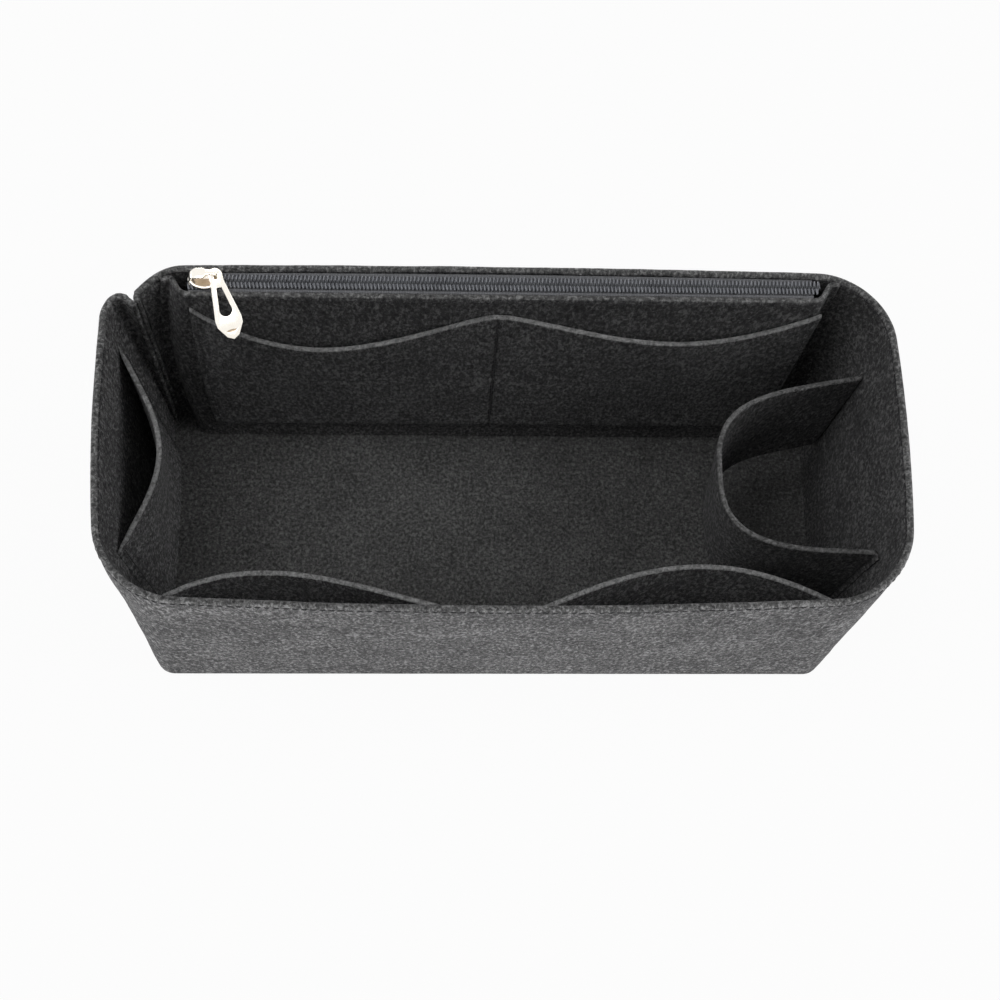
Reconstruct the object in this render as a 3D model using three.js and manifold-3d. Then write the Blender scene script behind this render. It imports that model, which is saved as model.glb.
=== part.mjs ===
// Felt purse organizer: an open-topped box with a zipped back compartment, pockets and a bottle strap.
// Millimetres, +Z up, +X along the length, front wall at -Y, underside of the base at Z = 0.
import * as THREE from "three";
import Module from "manifold-3d";

const wasm = await Module();
wasm.setup();

// Felt
const bandFelt = 2.5;
const panelFelt = 2;
const baseFelt = 3;
const seamGap = 0.3;

// Outer band
const bandHeight = 150;
const rimLength = 300;
const rimDepth = 134;
const rimCorner = 27;
const endBow = 3.7;
const frontBow = 4.3;
const backBow = 1.4;
const footLength = 297;
const footDepth = 124;
const footCorner = 8;

// Band seam in the back left corner
const seamNotch = 1.3;
const seamNotchWidth = 1.6;
const seamSink = 1.7;
const seamLobe = 2.2;
const seamFlapDepth = 3.5;
const seamFlapWidth = 4;
const seamFlapDrop = 1.5;

// Zip compartment
const dividerDrop = 0.7;
const dividerEndInset = 25;
const dividerHalfLength = rimLength / 2 - dividerEndInset;
const dividerFootInset = 17.5;
const dividerFootHalfLength = footLength / 2 - dividerFootInset;
const dividerLeftFlare = 12;
const flarePower = 2.4;
const dividerTopSpace = 8.9;
const dividerFootSpace = 7.8;
const dividerBend = 4;
const dividerFlange = 3.5;
const dividerLeftFootFlange = 1.6;

// Back pockets
const backPocketLeftInset = 7;
const backPocketLeft = dividerHalfLength - backPocketLeftInset;
const backPocketLeftFlare = 6.5;
const backPocketRightInset = 2;
const backPocketRight = dividerHalfLength - backPocketRightInset;
const backPocketPeak = -1.5;
const backPocketFoot = 19;
const backPocketEndDrop = 9.5;
const backPocketMidDrop = 13.5;
const leftScoopDrop = 40;
const rightScoopDrop = 31;
const scoopShare = 0.6;
const backPocketBulge = 2.9;

// Left pocket
const leftPocketFrontTop = 113;
const leftPocketBackTop = 127;
const leftPocketHalfWidth = 39.5;
const leftPocketCentre = 2.5;
const leftPocketBulge = 15.7;

// Front pockets
const frontPocketTop = 120;
const frontPocketInset = 17.5;
const frontPocketHalfLength = footLength / 2 - frontPocketInset;
const frontPocketMidHalf = 7;
const frontPocketLeftBulge = 16.5;
const frontPocketRightBulge = 19;
const frontPocketLeftSkew = 1.45;
const frontPocketRightSkew = 1.07;
const frontPocketFullness = 0.9;

// Bottle strap
const strapTop = 112;
const strapFoot = 33;
const strapFrontHalf = 33.6;
const strapFrontFlare = 0.8;
const strapBackHalf = 33.2;
const strapBackFlare = 4.8;
const strapReachTop = 56.3;
const strapReachFoot = 51.3;
const strapFrontRoundness = 3.2;
const strapBackRoundness = 2.8;
const strapFlange = 3;
const strapBend = 2.5;

// Zip
const zipEndInset = 5.5;
const zipHalfLength = dividerHalfLength - zipEndInset;
const tapeShortfall = 1.3;
const tapeHalfLength = zipHalfLength - tapeShortfall;
const zipPlaneDrop = 2.2;
const tapeThickness = 0.5;
const tapeTurnDown = 8.5;
const coilWidth = 2.5;
const coilHeight = 1.8;
const zipSideSpace = 4.9;
const zipSpread = 0.9;

// Slider
const sliderLength = 13.2;
const sliderWidth = 6;
const sliderTopWidth = 8;
const sliderTopInset = 0.7;
const sliderPlate = 1.1;
const sliderRound = 1.6;
const sliderNoseRound = 1;
const sliderEndInset = 7.5;
const sliderStart = sliderEndInset - zipHalfLength;
const sliderFit = 0.3;
const postLength = 3.6;
const bridgeRise = 5;
const bridgeBar = 1.3;
const bridgeLegInset = 2.2;

// Pull
const pullLength = 24.4;
const pullWidth = 10;
const pullThickness = 1.2;
const pullEyeOuter = 2.7;
const pullEyeHole = 1.4;
const pullDroop = 23.5;
const pullLean = 18;

// Facet counts
const cornerSteps = 14;
const seamStep = 8;
const longSteps = 16;
const shortSteps = 8;

const felt = { color: 0x616163, roughness: 0.95, metalness: 0 };
const tape = { color: 0x6a6b70, roughness: 0.8, metalness: 0 };
const coil = { color: 0x787b82, roughness: 0.5, metalness: 0 };
const metal = { color: 0xf2e8d8, roughness: 0.22, metalness: 1 };

const mix = (a, b, t) => a + (b - a) * t;
const clamp01 = (t) => Math.min(1, Math.max(0, t));
const smooth = (t) => clamp01(t) ** 2 * (3 - 2 * clamp01(t));

// The seam in the back left corner: the back wall's end sinks and the end wall's end stands out.
const seamTurn = (Math.PI / 2) * (seamStep / cornerSteps);
function seamOffset(turn, corner) {
  const past = turn - seamTurn;
  const away = corner * past / seamNotchWidth;
  const notch = seamNotch * Math.exp(-away * away);
  if (past <= 0) {
    return -seamSink * smooth(turn / seamTurn) - notch;
  }
  const fade = 1 - 0.65 * smooth((turn - 1.2) / (Math.PI / 2 - 1.2));
  return seamLobe * smooth(past / 0.22) * fade - seamSink * (1 - smooth(past / 0.1)) - notch;
}

// One closed outline: straight runs and corner arcs, bowed outward, with the seam in one corner.
function outline(length, depth, corner, bowEnd, bowFront, bowBack, seam) {
  const halfX = length / 2 - bowEnd;
  const front = depth / 2 - bowFront;
  const back = depth / 2 - bowBack;
  const corners = [
    [halfX - corner, corner - front, -Math.PI / 2, shortSteps],
    [halfX - corner, back - corner, 0, longSteps],
    [corner - halfX, back - corner, Math.PI / 2, shortSteps],
    [corner - halfX, corner - front, Math.PI, longSteps],
  ];
  const points = [];
  corners.forEach(([cx, cy, start, steps], k) => {
    for (let i = 0; i <= cornerSteps; i += 1) {
      const turn = (Math.PI / 2) * (i / cornerSteps);
      const reach = corner + (k === 2 ? seam * seamOffset(turn, corner) : 0);
      points.push([cx + reach * Math.cos(start + turn), cy + reach * Math.sin(start + turn)]);
    }
    const [nx, ny, nextStart] = corners[(k + 1) % 4];
    const from = points[points.length - 1];
    const to = [nx + corner * Math.cos(nextStart), ny + corner * Math.sin(nextStart)];
    for (let i = 1; i < steps; i += 1) {
      points.push([mix(from[0], to[0], i / steps), mix(from[1], to[1], i / steps)]);
    }
  });
  return points.map(([x, y]) => {
    const [half, bow] = y < 0 ? [front, bowFront] : [back, bowBack];
    return [
      x + bowEnd * (x / halfX) * (1 - (y / half) ** 2),
      y + bow * (y / half) * (1 - (x / halfX) ** 2),
    ];
  });
}

// The band's outline at height z, set in by a distance from its outer face.
function bandOutline(z, inset) {
  const rim = outline(
    rimLength - 2 * inset, rimDepth - 2 * inset, rimCorner - inset,
    endBow, frontBow, backBow, 1,
  );
  const foot = outline(
    footLength - 2 * inset, footDepth - 2 * inset, Math.max(0.6, footCorner - inset), 0, 0, 0, 0,
  );
  const t = z / bandHeight;
  return rim.map(([x, y], i) => [mix(foot[i][0], x, t), mix(foot[i][1], y, t)]);
}

const faces = new Map();
function faceAt(z, inset) {
  const key = `${z.toFixed(4)} ${inset.toFixed(4)}`;
  if (!faces.has(key)) {
    faces.set(key, bandOutline(z, inset));
  }
  return faces.get(key);
}

// Where the band's inner face, or a line standing off it, crosses a given X or Y on the side asked for.
function wallAt(z, stand, axis, value, side) {
  const points = faceAt(z, bandFelt + stand);
  let best = -Infinity;
  points.forEach((a, i) => {
    const b = points[(i + 1) % points.length];
    const low = Math.min(a[axis], b[axis]);
    const high = Math.max(a[axis], b[axis]);
    if (value >= low && value <= high && high > low) {
      const t = (value - a[axis]) / (b[axis] - a[axis]);
      best = Math.max(best, side * mix(a[1 - axis], b[1 - axis], t));
    }
  });
  return side * best;
}
const backWall = (x, z, stand = 0) => wallAt(z, stand, 0, x, 1);
const frontWall = (x, z, stand = 0) => wallAt(z, stand, 0, x, -1);
const rightWall = (y, z, stand = 0) => wallAt(z, stand, 1, y, 1);
const leftWall = (y, z, stand = 0) => wallAt(z, stand, 1, y, -1);

// How far a panel's middle stands off the wall that it is sewn to.
const sewnStand = seamGap + panelFelt / 2;

// A closed solid between two faces given as grids of points; the grid may close on itself along its rows.
function solidBetween(faceA, faceB, closed) {
  const rows = faceA.length;
  const count = faceA[0].length;
  const vertices = [...faceA.flat(), ...faceB.flat()].flat();
  const indices = [];
  const at = (face, r, c) => face * rows * count + r * count + (c % count);
  const quad = (a, b, c, d) => indices.push(a, b, c, a, c, d);
  const last = closed ? count : count - 1;
  for (let c = 0; c < last; c += 1) {
    for (let r = 0; r + 1 < rows; r += 1) {
      quad(at(0, r, c), at(0, r, c + 1), at(0, r + 1, c + 1), at(0, r + 1, c));
      quad(at(1, r, c), at(1, r + 1, c), at(1, r + 1, c + 1), at(1, r, c + 1));
    }
    quad(at(1, 0, c), at(1, 0, c + 1), at(0, 0, c + 1), at(0, 0, c));
    quad(at(0, rows - 1, c), at(0, rows - 1, c + 1), at(1, rows - 1, c + 1), at(1, rows - 1, c));
  }
  if (!closed) {
    for (let r = 0; r + 1 < rows; r += 1) {
      quad(at(0, r, 0), at(0, r + 1, 0), at(1, r + 1, 0), at(1, r, 0));
      quad(at(1, r, last), at(1, r + 1, last), at(0, r + 1, last), at(0, r, last));
    }
  }
  let volume = 0;
  const corner = (i) => new THREE.Vector3().fromArray(vertices, 3 * i);
  for (let i = 0; i < indices.length; i += 3) {
    const [p, q, s] = [corner(indices[i]), corner(indices[i + 1]), corner(indices[i + 2])];
    volume += p.dot(q.cross(s));
  }
  if (volume < 0) {
    indices.reverse();
  }
  const geometry = new THREE.BufferGeometry();
  geometry.setAttribute("position", new THREE.Float32BufferAttribute(vertices, 3));
  geometry.setIndex(indices);
  geometry.computeVertexNormals();
  return geometry;
}

// A sheet of even thickness around a middle surface given as a grid of points.
function sheet(grid, thickness) {
  const rows = grid.length;
  const count = grid[0].length;
  const vector = (r, c) => new THREE.Vector3(...grid[r][c]);
  const shifted = (side) => grid.map((row, r) => row.map((point, c) => {
    const along = vector(r, Math.min(count - 1, c + 1)).sub(vector(r, Math.max(0, c - 1)));
    const up = vector(Math.min(rows - 1, r + 1), c).sub(vector(Math.max(0, r - 1), c));
    const normal = along.cross(up).normalize();
    return new THREE.Vector3(...point).addScaledVector(normal, side * thickness / 2).toArray();
  }));
  return solidBetween(shifted(1), shifted(-1), false);
}

function grid(rows, columns, point) {
  return Array.from({ length: rows + 1 }, (_, r) => (
    Array.from({ length: columns + 1 }, (_, c) => point(c / columns, r / rows))
  ));
}

// A polyline with its inner corners rounded to one radius.
function rounded(points, radius, steps) {
  const out = [points[0]];
  for (let i = 1; i + 1 < points.length; i += 1) {
    const here = new THREE.Vector2(...points[i]);
    const back = new THREE.Vector2(...points[i - 1]).sub(here);
    const on = new THREE.Vector2(...points[i + 1]).sub(here);
    const cut = Math.min(radius, back.length() / 2.2, on.length() / 2.2);
    const start = here.clone().addScaledVector(back.normalize(), cut);
    const end = here.clone().addScaledVector(on.normalize(), cut);
    const bend = new THREE.QuadraticBezierCurve(start, here, end);
    out.push(...bend.getPoints(steps).map((p) => p.toArray()));
  }
  out.push(points[points.length - 1]);
  return out;
}

// Joining of closed geometries into one body.
function solid(geometry) {
  const flat = geometry.index ? geometry.toNonIndexed() : geometry;
  const position = flat.getAttribute("position");
  const keys = new Map();
  const vertices = [];
  const triangles = [];
  for (let i = 0; i < position.count; i += 1) {
    const point = [position.getX(i), position.getY(i), position.getZ(i)];
    const key = point.map((v) => Math.round(v * 1e4)).join(" ");
    if (!keys.has(key)) {
      keys.set(key, vertices.length / 3);
      vertices.push(...point);
    }
    triangles.push(keys.get(key));
  }
  return new wasm.Manifold(new wasm.Mesh({
    numProp: 3,
    vertProperties: new Float32Array(vertices),
    triVerts: new Uint32Array(triangles),
  }));
}

function joined(geometries) {
  const body = geometries.map(solid).reduce((a, b) => a.add(b));
  const mesh = body.getMesh();
  const geometry = new THREE.BufferGeometry();
  geometry.setAttribute("position", new THREE.Float32BufferAttribute(mesh.vertProperties, 3));
  geometry.setIndex(Array.from(mesh.triVerts));
  geometry.computeVertexNormals();
  return geometry;
}

// Band
function band() {
  const levels = [0, 1 / 3, 2 / 3, 1].map((t) => t * bandHeight);
  const face = (inset) => levels.map((z) => bandOutline(z, inset).map(([x, y]) => [x, y, z]));
  const ring = solidBetween(face(0), face(bandFelt), true);
  const middle = 2 * cornerSteps + longSteps + shortSteps + 1 + seamStep;
  const inward = new THREE.Vector2(Math.sin(seamTurn), -Math.cos(seamTurn));
  const across = new THREE.Vector2(Math.cos(seamTurn), Math.sin(seamTurn));
  const flapLevels = [baseFelt + seamGap, bandHeight - seamFlapDrop];
  const flapFace = (side) => flapLevels.map((z) => {
    const foot = new THREE.Vector2(...bandOutline(z, bandFelt / 2)[middle]);
    const wall = foot.clone().addScaledVector(across, side * seamFlapWidth / 2);
    const lip = wall.clone().addScaledVector(inward, bandFelt / 2 + seamFlapDepth);
    return [[wall.x, wall.y, z], [lip.x, lip.y, z]];
  });
  return joined([ring, solidBetween(flapFace(1), flapFace(-1), false)]);
}

// Base
function base() {
  const edge = bandOutline(0, bandFelt + seamGap).map(([x, y]) => new THREE.Vector2(x, y));
  return new THREE.ExtrudeGeometry(new THREE.Shape(edge), { depth: baseFelt, bevelEnabled: false });
}

// Divider in front of the zip compartment
const dividerTop = bandHeight - dividerDrop;
const dividerFoot = baseFelt + seamGap;
function dividerY(z) {
  const t = (z - dividerFoot) / (dividerTop - dividerFoot);
  const top = backWall(0, dividerTop) - dividerTopSpace - panelFelt / 2;
  const foot = backWall(0, dividerFoot) - dividerFootSpace - panelFelt / 2;
  return mix(foot, top, t);
}

// Towards the foot the left end stands further out than at the top.
function flare(z, amount) {
  return amount * (1 - (z / dividerTop) ** flarePower);
}

function dividerHalf(z, s) {
  if (s < 0) return dividerHalfLength + flare(z, dividerLeftFlare);
  return mix(dividerFootHalfLength, dividerHalfLength, z / dividerTop);
}

function dividerEnd(z, s) {
  const foot = s < 0 ? dividerLeftFootFlange : dividerFlange;
  return dividerHalf(z, s) + mix(foot, dividerFlange, z / dividerTop);
}

function divider() {
  const rows = 9;
  const levels = Array.from({ length: rows + 1 }, (_, r) => mix(dividerFoot, dividerTop, r / rows));
  return sheet(levels.map((z) => {
    const onWall = (x) => [x, backWall(x, z, sewnStand)];
    const side = (s) => [
      onWall(s * dividerEnd(z, s)),
      onWall(s * dividerHalf(z, s)),
      [s * (dividerHalf(z, s) - dividerBend), dividerY(z)],
    ];
    const path = rounded([...side(-1), ...side(1).reverse()], dividerBend * 0.75, 5);
    return path.map(([x, y]) => [x, y, z]);
  }), panelFelt);
}

// Back pockets
function backPocketShare(x) {
  const span = x < backPocketPeak ? backPocketLeft + backPocketPeak : backPocketRight - backPocketPeak;
  return Math.abs(x - backPocketPeak) / span;
}

function backPocketTop(x) {
  const drop = x < backPocketPeak ? leftScoopDrop : rightScoopDrop;
  const share = backPocketShare(x);
  const outside = share > scoopShare;
  const span = outside ? 1 - scoopShare : scoopShare;
  const end = outside ? backPocketEndDrop : backPocketMidDrop;
  const t = Math.abs(share - scoopShare) / span;
  return bandHeight - mix(drop, end, outside ? t ** 2.3 : t ** 1.45);
}

function backPocket() {
  const columns = 44;
  return sheet(grid(6, columns, (u, v) => {
    const side = u < 0.5 ? -backPocketLeft : backPocketRight;
    const x = mix(backPocketPeak, side, Math.abs(2 * u - 1));
    const z = mix(backPocketFoot, backPocketTop(x), v);
    const share = backPocketShare(x);
    const out = u < 0.5 ? share * flare(z, backPocketLeftFlare) : 0;
    const swell = Math.sin(Math.PI * share) ** 2 * v ** 2;
    return [x - out, dividerY(z) - panelFelt - seamGap - backPocketBulge * swell, z];
  }), panelFelt);
}

// Pockets on the end wall and the front wall stand off the wall, most at the top edge.
const pocketFoot = baseFelt + seamGap;

function leftPocket() {
  return sheet(grid(7, 22, (u, v) => {
    const y = leftPocketCentre + mix(-leftPocketHalfWidth, leftPocketHalfWidth, u);
    const z = mix(pocketFoot, mix(leftPocketFrontTop, leftPocketBackTop, u), v);
    const swell = Math.sin(Math.PI * u) ** 1.25 * v ** 1.2;
    return [leftWall(y, z, sewnStand) + leftPocketBulge * swell, y, z];
  }), panelFelt);
}

function frontPocket() {
  return sheet(grid(7, 48, (u, v) => {
    const x = mix(-frontPocketHalfLength, frontPocketHalfLength, u);
    const z = mix(pocketFoot, frontPocketTop, v);
    const span = frontPocketHalfLength - frontPocketMidHalf;
    const across = clamp01((Math.abs(x) - frontPocketMidHalf) / span);
    const bulge = x < 0 ? frontPocketLeftBulge : frontPocketRightBulge;
    const skew = x < 0 ? frontPocketLeftSkew : frontPocketRightSkew;
    const swell = Math.sin(Math.PI * across ** skew) ** frontPocketFullness * v ** 1.2;
    return [x, frontWall(x, z, sewnStand) + bulge * swell, z];
  }), panelFelt);
}

// Bottle strap: a loop sewn to the right wall by its two turned ends
function strap() {
  const rows = 3;
  const turns = 26;
  return sheet(grid(rows, 1, (u, v) => mix(strapFoot, strapTop, v)).map(([z]) => {
    const t = (z - strapFoot) / (strapTop - strapFoot);
    const reach = mix(strapReachFoot, strapReachTop, t);
    const onWall = (y) => [rightWall(y, z, sewnStand), y];
    const wallX = onWall(0)[0] - endBow * t;
    const loop = [];
    for (let i = 1; i < turns; i += 1) {
      const angle = mix(-Math.PI / 2, Math.PI / 2, i / turns);
      const [half, flare, roundness] = angle < 0
        ? [strapFrontHalf, strapFrontFlare, strapFrontRoundness]
        : [strapBackHalf, strapBackFlare, strapBackRoundness];
      const out = Math.cos(angle) ** (2 / roundness);
      const y = half * Math.abs(Math.sin(angle)) ** (2 / roundness) + flare * (1 - out) ** 3;
      loop.push([wallX - reach * out, y * Math.sign(angle)]);
    }
    const wide = (s) => s * (s < 0 ? strapFrontHalf + strapFrontFlare : strapBackHalf + strapBackFlare);
    const end = (s) => rounded([
      onWall(wide(s) + s * strapFlange),
      onWall(wide(s)),
      loop[s < 0 ? 0 : loop.length - 1],
    ], strapBend, 4);
    const path = [...end(-1), ...loop.slice(1, -1), ...end(1).reverse()];
    return path.map(([x, y]) => [x, y, z]);
  }), panelFelt);
}

// Zip tapes and coils
const tapePlane = bandHeight - zipPlaneDrop;
const chainY = backWall(0, tapePlane) - zipSideSpace;
const coilBottom = tapePlane + tapeThickness / 2 + seamGap;
const spreadAt = (x) => zipSpread * smooth((sliderStart + sliderLength * 0.1 - x) / (sliderLength * 0.35));
const zipSteps = 28;
const zipX = (u, half) => {
  const near = 0.4;
  const turn = sliderStart + sliderLength;
  return u < near ? mix(-half, turn, u / near) : mix(turn, half, (u - near) / (1 - near));
};

function zipTape(side) {
  const rows = [];
  for (let i = 0; i <= zipSteps; i += 1) {
    const x = zipX(i / zipSteps, tapeHalfLength);
    const stand = seamGap + tapeThickness / 2;
    const felt = (z) => (side > 0 ? backWall(x, z, stand) : dividerY(z) + panelFelt / 2 + stand);
    const inner = chainY + side * (seamGap / 2 + spreadAt(x));
    const foot = tapePlane - tapeTurnDown;
    const path = rounded([[inner, tapePlane], [felt(tapePlane), tapePlane], [felt(foot), foot]], 1, 3);
    rows.push(path.map(([y, z]) => [x, y, z]));
  }
  return sheet(rows, tapeThickness);
}

function zipCoil(side) {
  const round = coilHeight / 2;
  const sections = 8;
  const faces = [];
  for (let i = 0; i <= zipSteps; i += 1) {
    const x = zipX(i / zipSteps, zipHalfLength);
    const middle = chainY + side * (seamGap / 2 + coilWidth / 2 + spreadAt(x));
    faces.push(Array.from({ length: sections }, (_, k) => {
      const angle = 2 * Math.PI * ((k + 0.5) / sections);
      const y = middle + coilWidth / 2 * Math.cos(angle) / Math.cos(Math.PI / sections);
      const z = coilBottom + round + round * Math.sin(angle) / Math.cos(Math.PI / sections);
      return [x, y, z];
    }));
  }
  const vertices = faces.flat().flat();
  const indices = [];
  for (let i = 0; i < zipSteps; i += 1) {
    for (let k = 0; k < sections; k += 1) {
      const [a, b] = [i * sections + k, i * sections + (k + 1) % sections];
      indices.push(a, b, b + sections, a, b + sections, a + sections);
    }
  }
  for (let k = 1; k + 1 < sections; k += 1) {
    const far = zipSteps * sections;
    indices.push(0, k + 1, k, far, far + k, far + k + 1);
  }
  const geometry = new THREE.BufferGeometry();
  geometry.setAttribute("position", new THREE.Float32BufferAttribute(vertices, 3));
  geometry.setIndex(indices);
  geometry.computeVertexNormals();
  return geometry;
}

// Slider: two plates joined by a wedge post, with a bridge on the upper plate
const plateTopZ = coilBottom + coilHeight + sliderFit;
const plateFootZ = tapePlane - tapeThickness / 2 - sliderFit - sliderPlate;

function sliderPlateShape() {
  const shape = new THREE.Shape();
  const [half, wide, slim] = [sliderLength / 2, sliderWidth / 2, sliderWidth * 0.4];
  shape.moveTo(-half + sliderRound, -wide);
  shape.lineTo(0, -wide);
  shape.lineTo(half - sliderNoseRound, -slim);
  shape.quadraticCurveTo(half, -slim, half, sliderNoseRound - slim);
  shape.lineTo(half, slim - sliderNoseRound);
  shape.quadraticCurveTo(half, slim, half - sliderNoseRound, slim);
  shape.lineTo(0, wide);
  shape.lineTo(-half + sliderRound, wide);
  shape.quadraticCurveTo(-half, wide, -half, wide - sliderRound);
  shape.lineTo(-half, sliderRound - wide);
  shape.quadraticCurveTo(-half, -wide, -half + sliderRound, -wide);
  return shape;
}

const legX = sliderLength / 2 - bridgeLegInset;

function slider() {
  const flat = (shape, curveSegments) => new THREE.ExtrudeGeometry(
    shape, { depth: sliderPlate, bevelEnabled: false, curveSegments },
  );
  const oval = new THREE.Shape();
  oval.absellipse(0, 0, sliderLength / 2 - sliderTopInset, sliderTopWidth / 2, 0, Math.PI * 2);
  const foot = flat(sliderPlateShape(), 4).translate(0, 0, plateFootZ);
  const top = flat(oval, 18).translate(0, 0, plateTopZ);
  const wedge = new THREE.Shape();
  const back = -sliderLength / 2;
  wedge.moveTo(back + 0.4, -zipSpread + sliderFit);
  wedge.lineTo(back + postLength * 0.55, -zipSpread + sliderFit);
  wedge.lineTo(back + postLength, 0);
  wedge.lineTo(back + postLength * 0.55, zipSpread - sliderFit);
  wedge.lineTo(back + 0.4, zipSpread - sliderFit);
  wedge.closePath();
  const post = new THREE.ExtrudeGeometry(wedge, {
    depth: plateTopZ - plateFootZ, bevelEnabled: false,
  }).translate(0, 0, plateFootZ + sliderPlate / 2);
  const arch = new THREE.Shape();
  const [left, right, rise] = [-legX - bridgeBar / 2, legX + bridgeBar / 2, bridgeRise];
  arch.moveTo(left, -sliderPlate / 2);
  arch.lineTo(left, rise / 2);
  arch.quadraticCurveTo(left, rise, left + rise / 2, rise);
  arch.lineTo(right - rise * 0.41, rise);
  arch.quadraticCurveTo(right, rise, right, rise * 0.59);
  arch.lineTo(right, -sliderPlate / 2);
  arch.lineTo(right - bridgeBar, -sliderPlate / 2);
  arch.lineTo(right - bridgeBar, rise - bridgeBar - 0.5);
  arch.quadraticCurveTo(right - bridgeBar, rise - bridgeBar, right - bridgeBar - 0.5, rise - bridgeBar);
  arch.lineTo(left + bridgeBar + 1, rise - bridgeBar);
  arch.quadraticCurveTo(left + bridgeBar, rise - bridgeBar, left + bridgeBar, rise - bridgeBar - 1);
  arch.lineTo(left + bridgeBar, -sliderPlate / 2);
  arch.closePath();
  const bridge = new THREE.ExtrudeGeometry(arch, {
    depth: bridgeBar, bevelEnabled: false, curveSegments: 5,
  }).translate(0, 0, -bridgeBar / 2).rotateX(Math.PI / 2).translate(0, 0, plateTopZ + sliderPlate);
  return joined([foot, post, top, bridge]).translate(sliderStart, chainY, 0);
}

// Pull: an eye round the bridge's leg, a slotted blade and a faceted point
const eyeZ = plateTopZ + sliderPlate + bridgeRise / 2;

function pull() {
  const shape = new THREE.Shape();
  const [wide, neck] = [pullWidth / 2, pullEyeOuter * 0.92];
  shape.absarc(0, 0, pullEyeOuter, Math.PI * 0.06, Math.PI * 0.94, false);
  shape.lineTo(-neck, -pullLength * 0.096);
  shape.lineTo(-wide, -pullLength * 0.68);
  shape.lineTo(-wide * 0.96, -pullLength * 0.78);
  shape.lineTo(-wide * 0.45, -pullLength * 0.95);
  shape.lineTo(0, -pullLength);
  shape.lineTo(wide * 0.45, -pullLength * 0.95);
  shape.lineTo(wide * 0.96, -pullLength * 0.78);
  shape.lineTo(wide, -pullLength * 0.68);
  shape.lineTo(neck, -pullLength * 0.096);
  shape.closePath();
  const eye = new THREE.Path();
  eye.absarc(0, 0, pullEyeHole, 0, Math.PI * 2, true);
  const slot = new THREE.Path();
  const [slotTop, slotFoot, slotHalf] = [-pullLength * 0.19, -pullLength * 0.54, pullWidth * 0.24];
  slot.moveTo(-slotHalf * 0.4, slotTop);
  slot.lineTo(slotHalf * 0.4, slotTop);
  slot.lineTo(slotHalf, slotFoot);
  slot.absarc(0, slotFoot, slotHalf, 0, -Math.PI, true);
  slot.closePath();
  shape.holes.push(eye, slot);
  return new THREE.ExtrudeGeometry(shape, {
    depth: pullThickness, bevelEnabled: false, curveSegments: 16,
  }).translate(0, 0, -pullThickness / 2);
}

const group = new THREE.Group();
function add(name, geometry, look) {
  const mesh = new THREE.Mesh(geometry, new THREE.MeshStandardMaterial(look));
  mesh.name = name;
  group.add(mesh);
  return mesh;
}

add("wall_band", band(), felt);
add("base_panel", base(), felt);
add("zip_divider", divider(), felt);
add("back_pocket_panel", backPocket(), felt);
add("left_pocket_panel", leftPocket(), felt);
add("front_pocket_panel", frontPocket(), felt);
add("bottle_strap", strap(), felt);
add("zip_tape_front", zipTape(-1), tape);
add("zip_tape_back", zipTape(1), tape);
add("zip_coil_front", zipCoil(-1), coil);
add("zip_coil_back", zipCoil(1), coil);
add("zip_slider", slider(), metal);
const pullMesh = add("zip_pull", pull(), metal);
pullMesh.position.set(sliderStart + legX, chainY, eyeZ);
pullMesh.rotation.set(THREE.MathUtils.degToRad(pullDroop), 0, THREE.MathUtils.degToRad(pullLean), "XYZ");

export default group;
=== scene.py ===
import math

import bmesh
import bpy
import numpy as np
from mathutils import Euler, Matrix, Vector


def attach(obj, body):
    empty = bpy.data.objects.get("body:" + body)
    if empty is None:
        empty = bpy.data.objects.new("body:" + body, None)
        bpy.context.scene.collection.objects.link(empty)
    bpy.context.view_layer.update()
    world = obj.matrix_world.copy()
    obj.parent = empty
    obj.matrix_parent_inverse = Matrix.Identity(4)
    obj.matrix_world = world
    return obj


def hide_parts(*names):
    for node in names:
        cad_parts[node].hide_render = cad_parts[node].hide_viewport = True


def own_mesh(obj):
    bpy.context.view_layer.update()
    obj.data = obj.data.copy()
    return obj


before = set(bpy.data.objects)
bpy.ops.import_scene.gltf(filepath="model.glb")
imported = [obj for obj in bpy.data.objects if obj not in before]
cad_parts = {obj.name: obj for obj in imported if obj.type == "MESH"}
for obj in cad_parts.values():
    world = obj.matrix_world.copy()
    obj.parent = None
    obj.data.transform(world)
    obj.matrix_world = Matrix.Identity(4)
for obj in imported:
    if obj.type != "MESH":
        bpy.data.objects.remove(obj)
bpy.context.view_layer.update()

# Sizes in millimetres, following those of the solids

# Thicknesses of the sheets, and the gap between sheets that are sewn together
BAND_FELT, PANEL_FELT, BASE_FELT, TOUCH = 2.5, 2.0, 3.0, 0.06

# Band: its outline at the rim and at the foot, how far each side bows, and the sewn line under the rim
HEIGHT, RIM_SEAM, RIM_GROOVE, RIM_GROOVE_WIDTH = 150.0, 3.0, 0.42, 0.8
RIM = dict(length=300.0, depth=134.0, corner=27.0, end=3.7, front=4.3, back=1.4, seam=1.0, skew=1.8)
FOOT = dict(length=297.0, depth=124.0, corner=8.0, end=0.0, front=0.0, back=0.0, seam=0.0, skew=0.0)
# Steps along a corner, a long side and a short side of that outline
CORNER_N, LONG_N, SHORT_N = 28, 120, 52

# Corner seam: the angle where it lies, the shapes of the two ends beside it, and the turned-in flaps
SEAM_TURN, SINK_RISE, LOBE_RISE, LOBE_END, LOBE_FADE = math.pi / 2 * 8 / 14, 0.1, 0.22, 1.2, 0.65
NOTCH, NOTCH_WIDTH, SINK, LOBE = 0.3, 1.6, 4.0, 2.2
FLAP, FLAP_FOOT, FLAP_BEND, FLAP_PRESS, FLAP_FROM = 2.6, 2.3, 1.7, 0.12, 115.0

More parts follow.
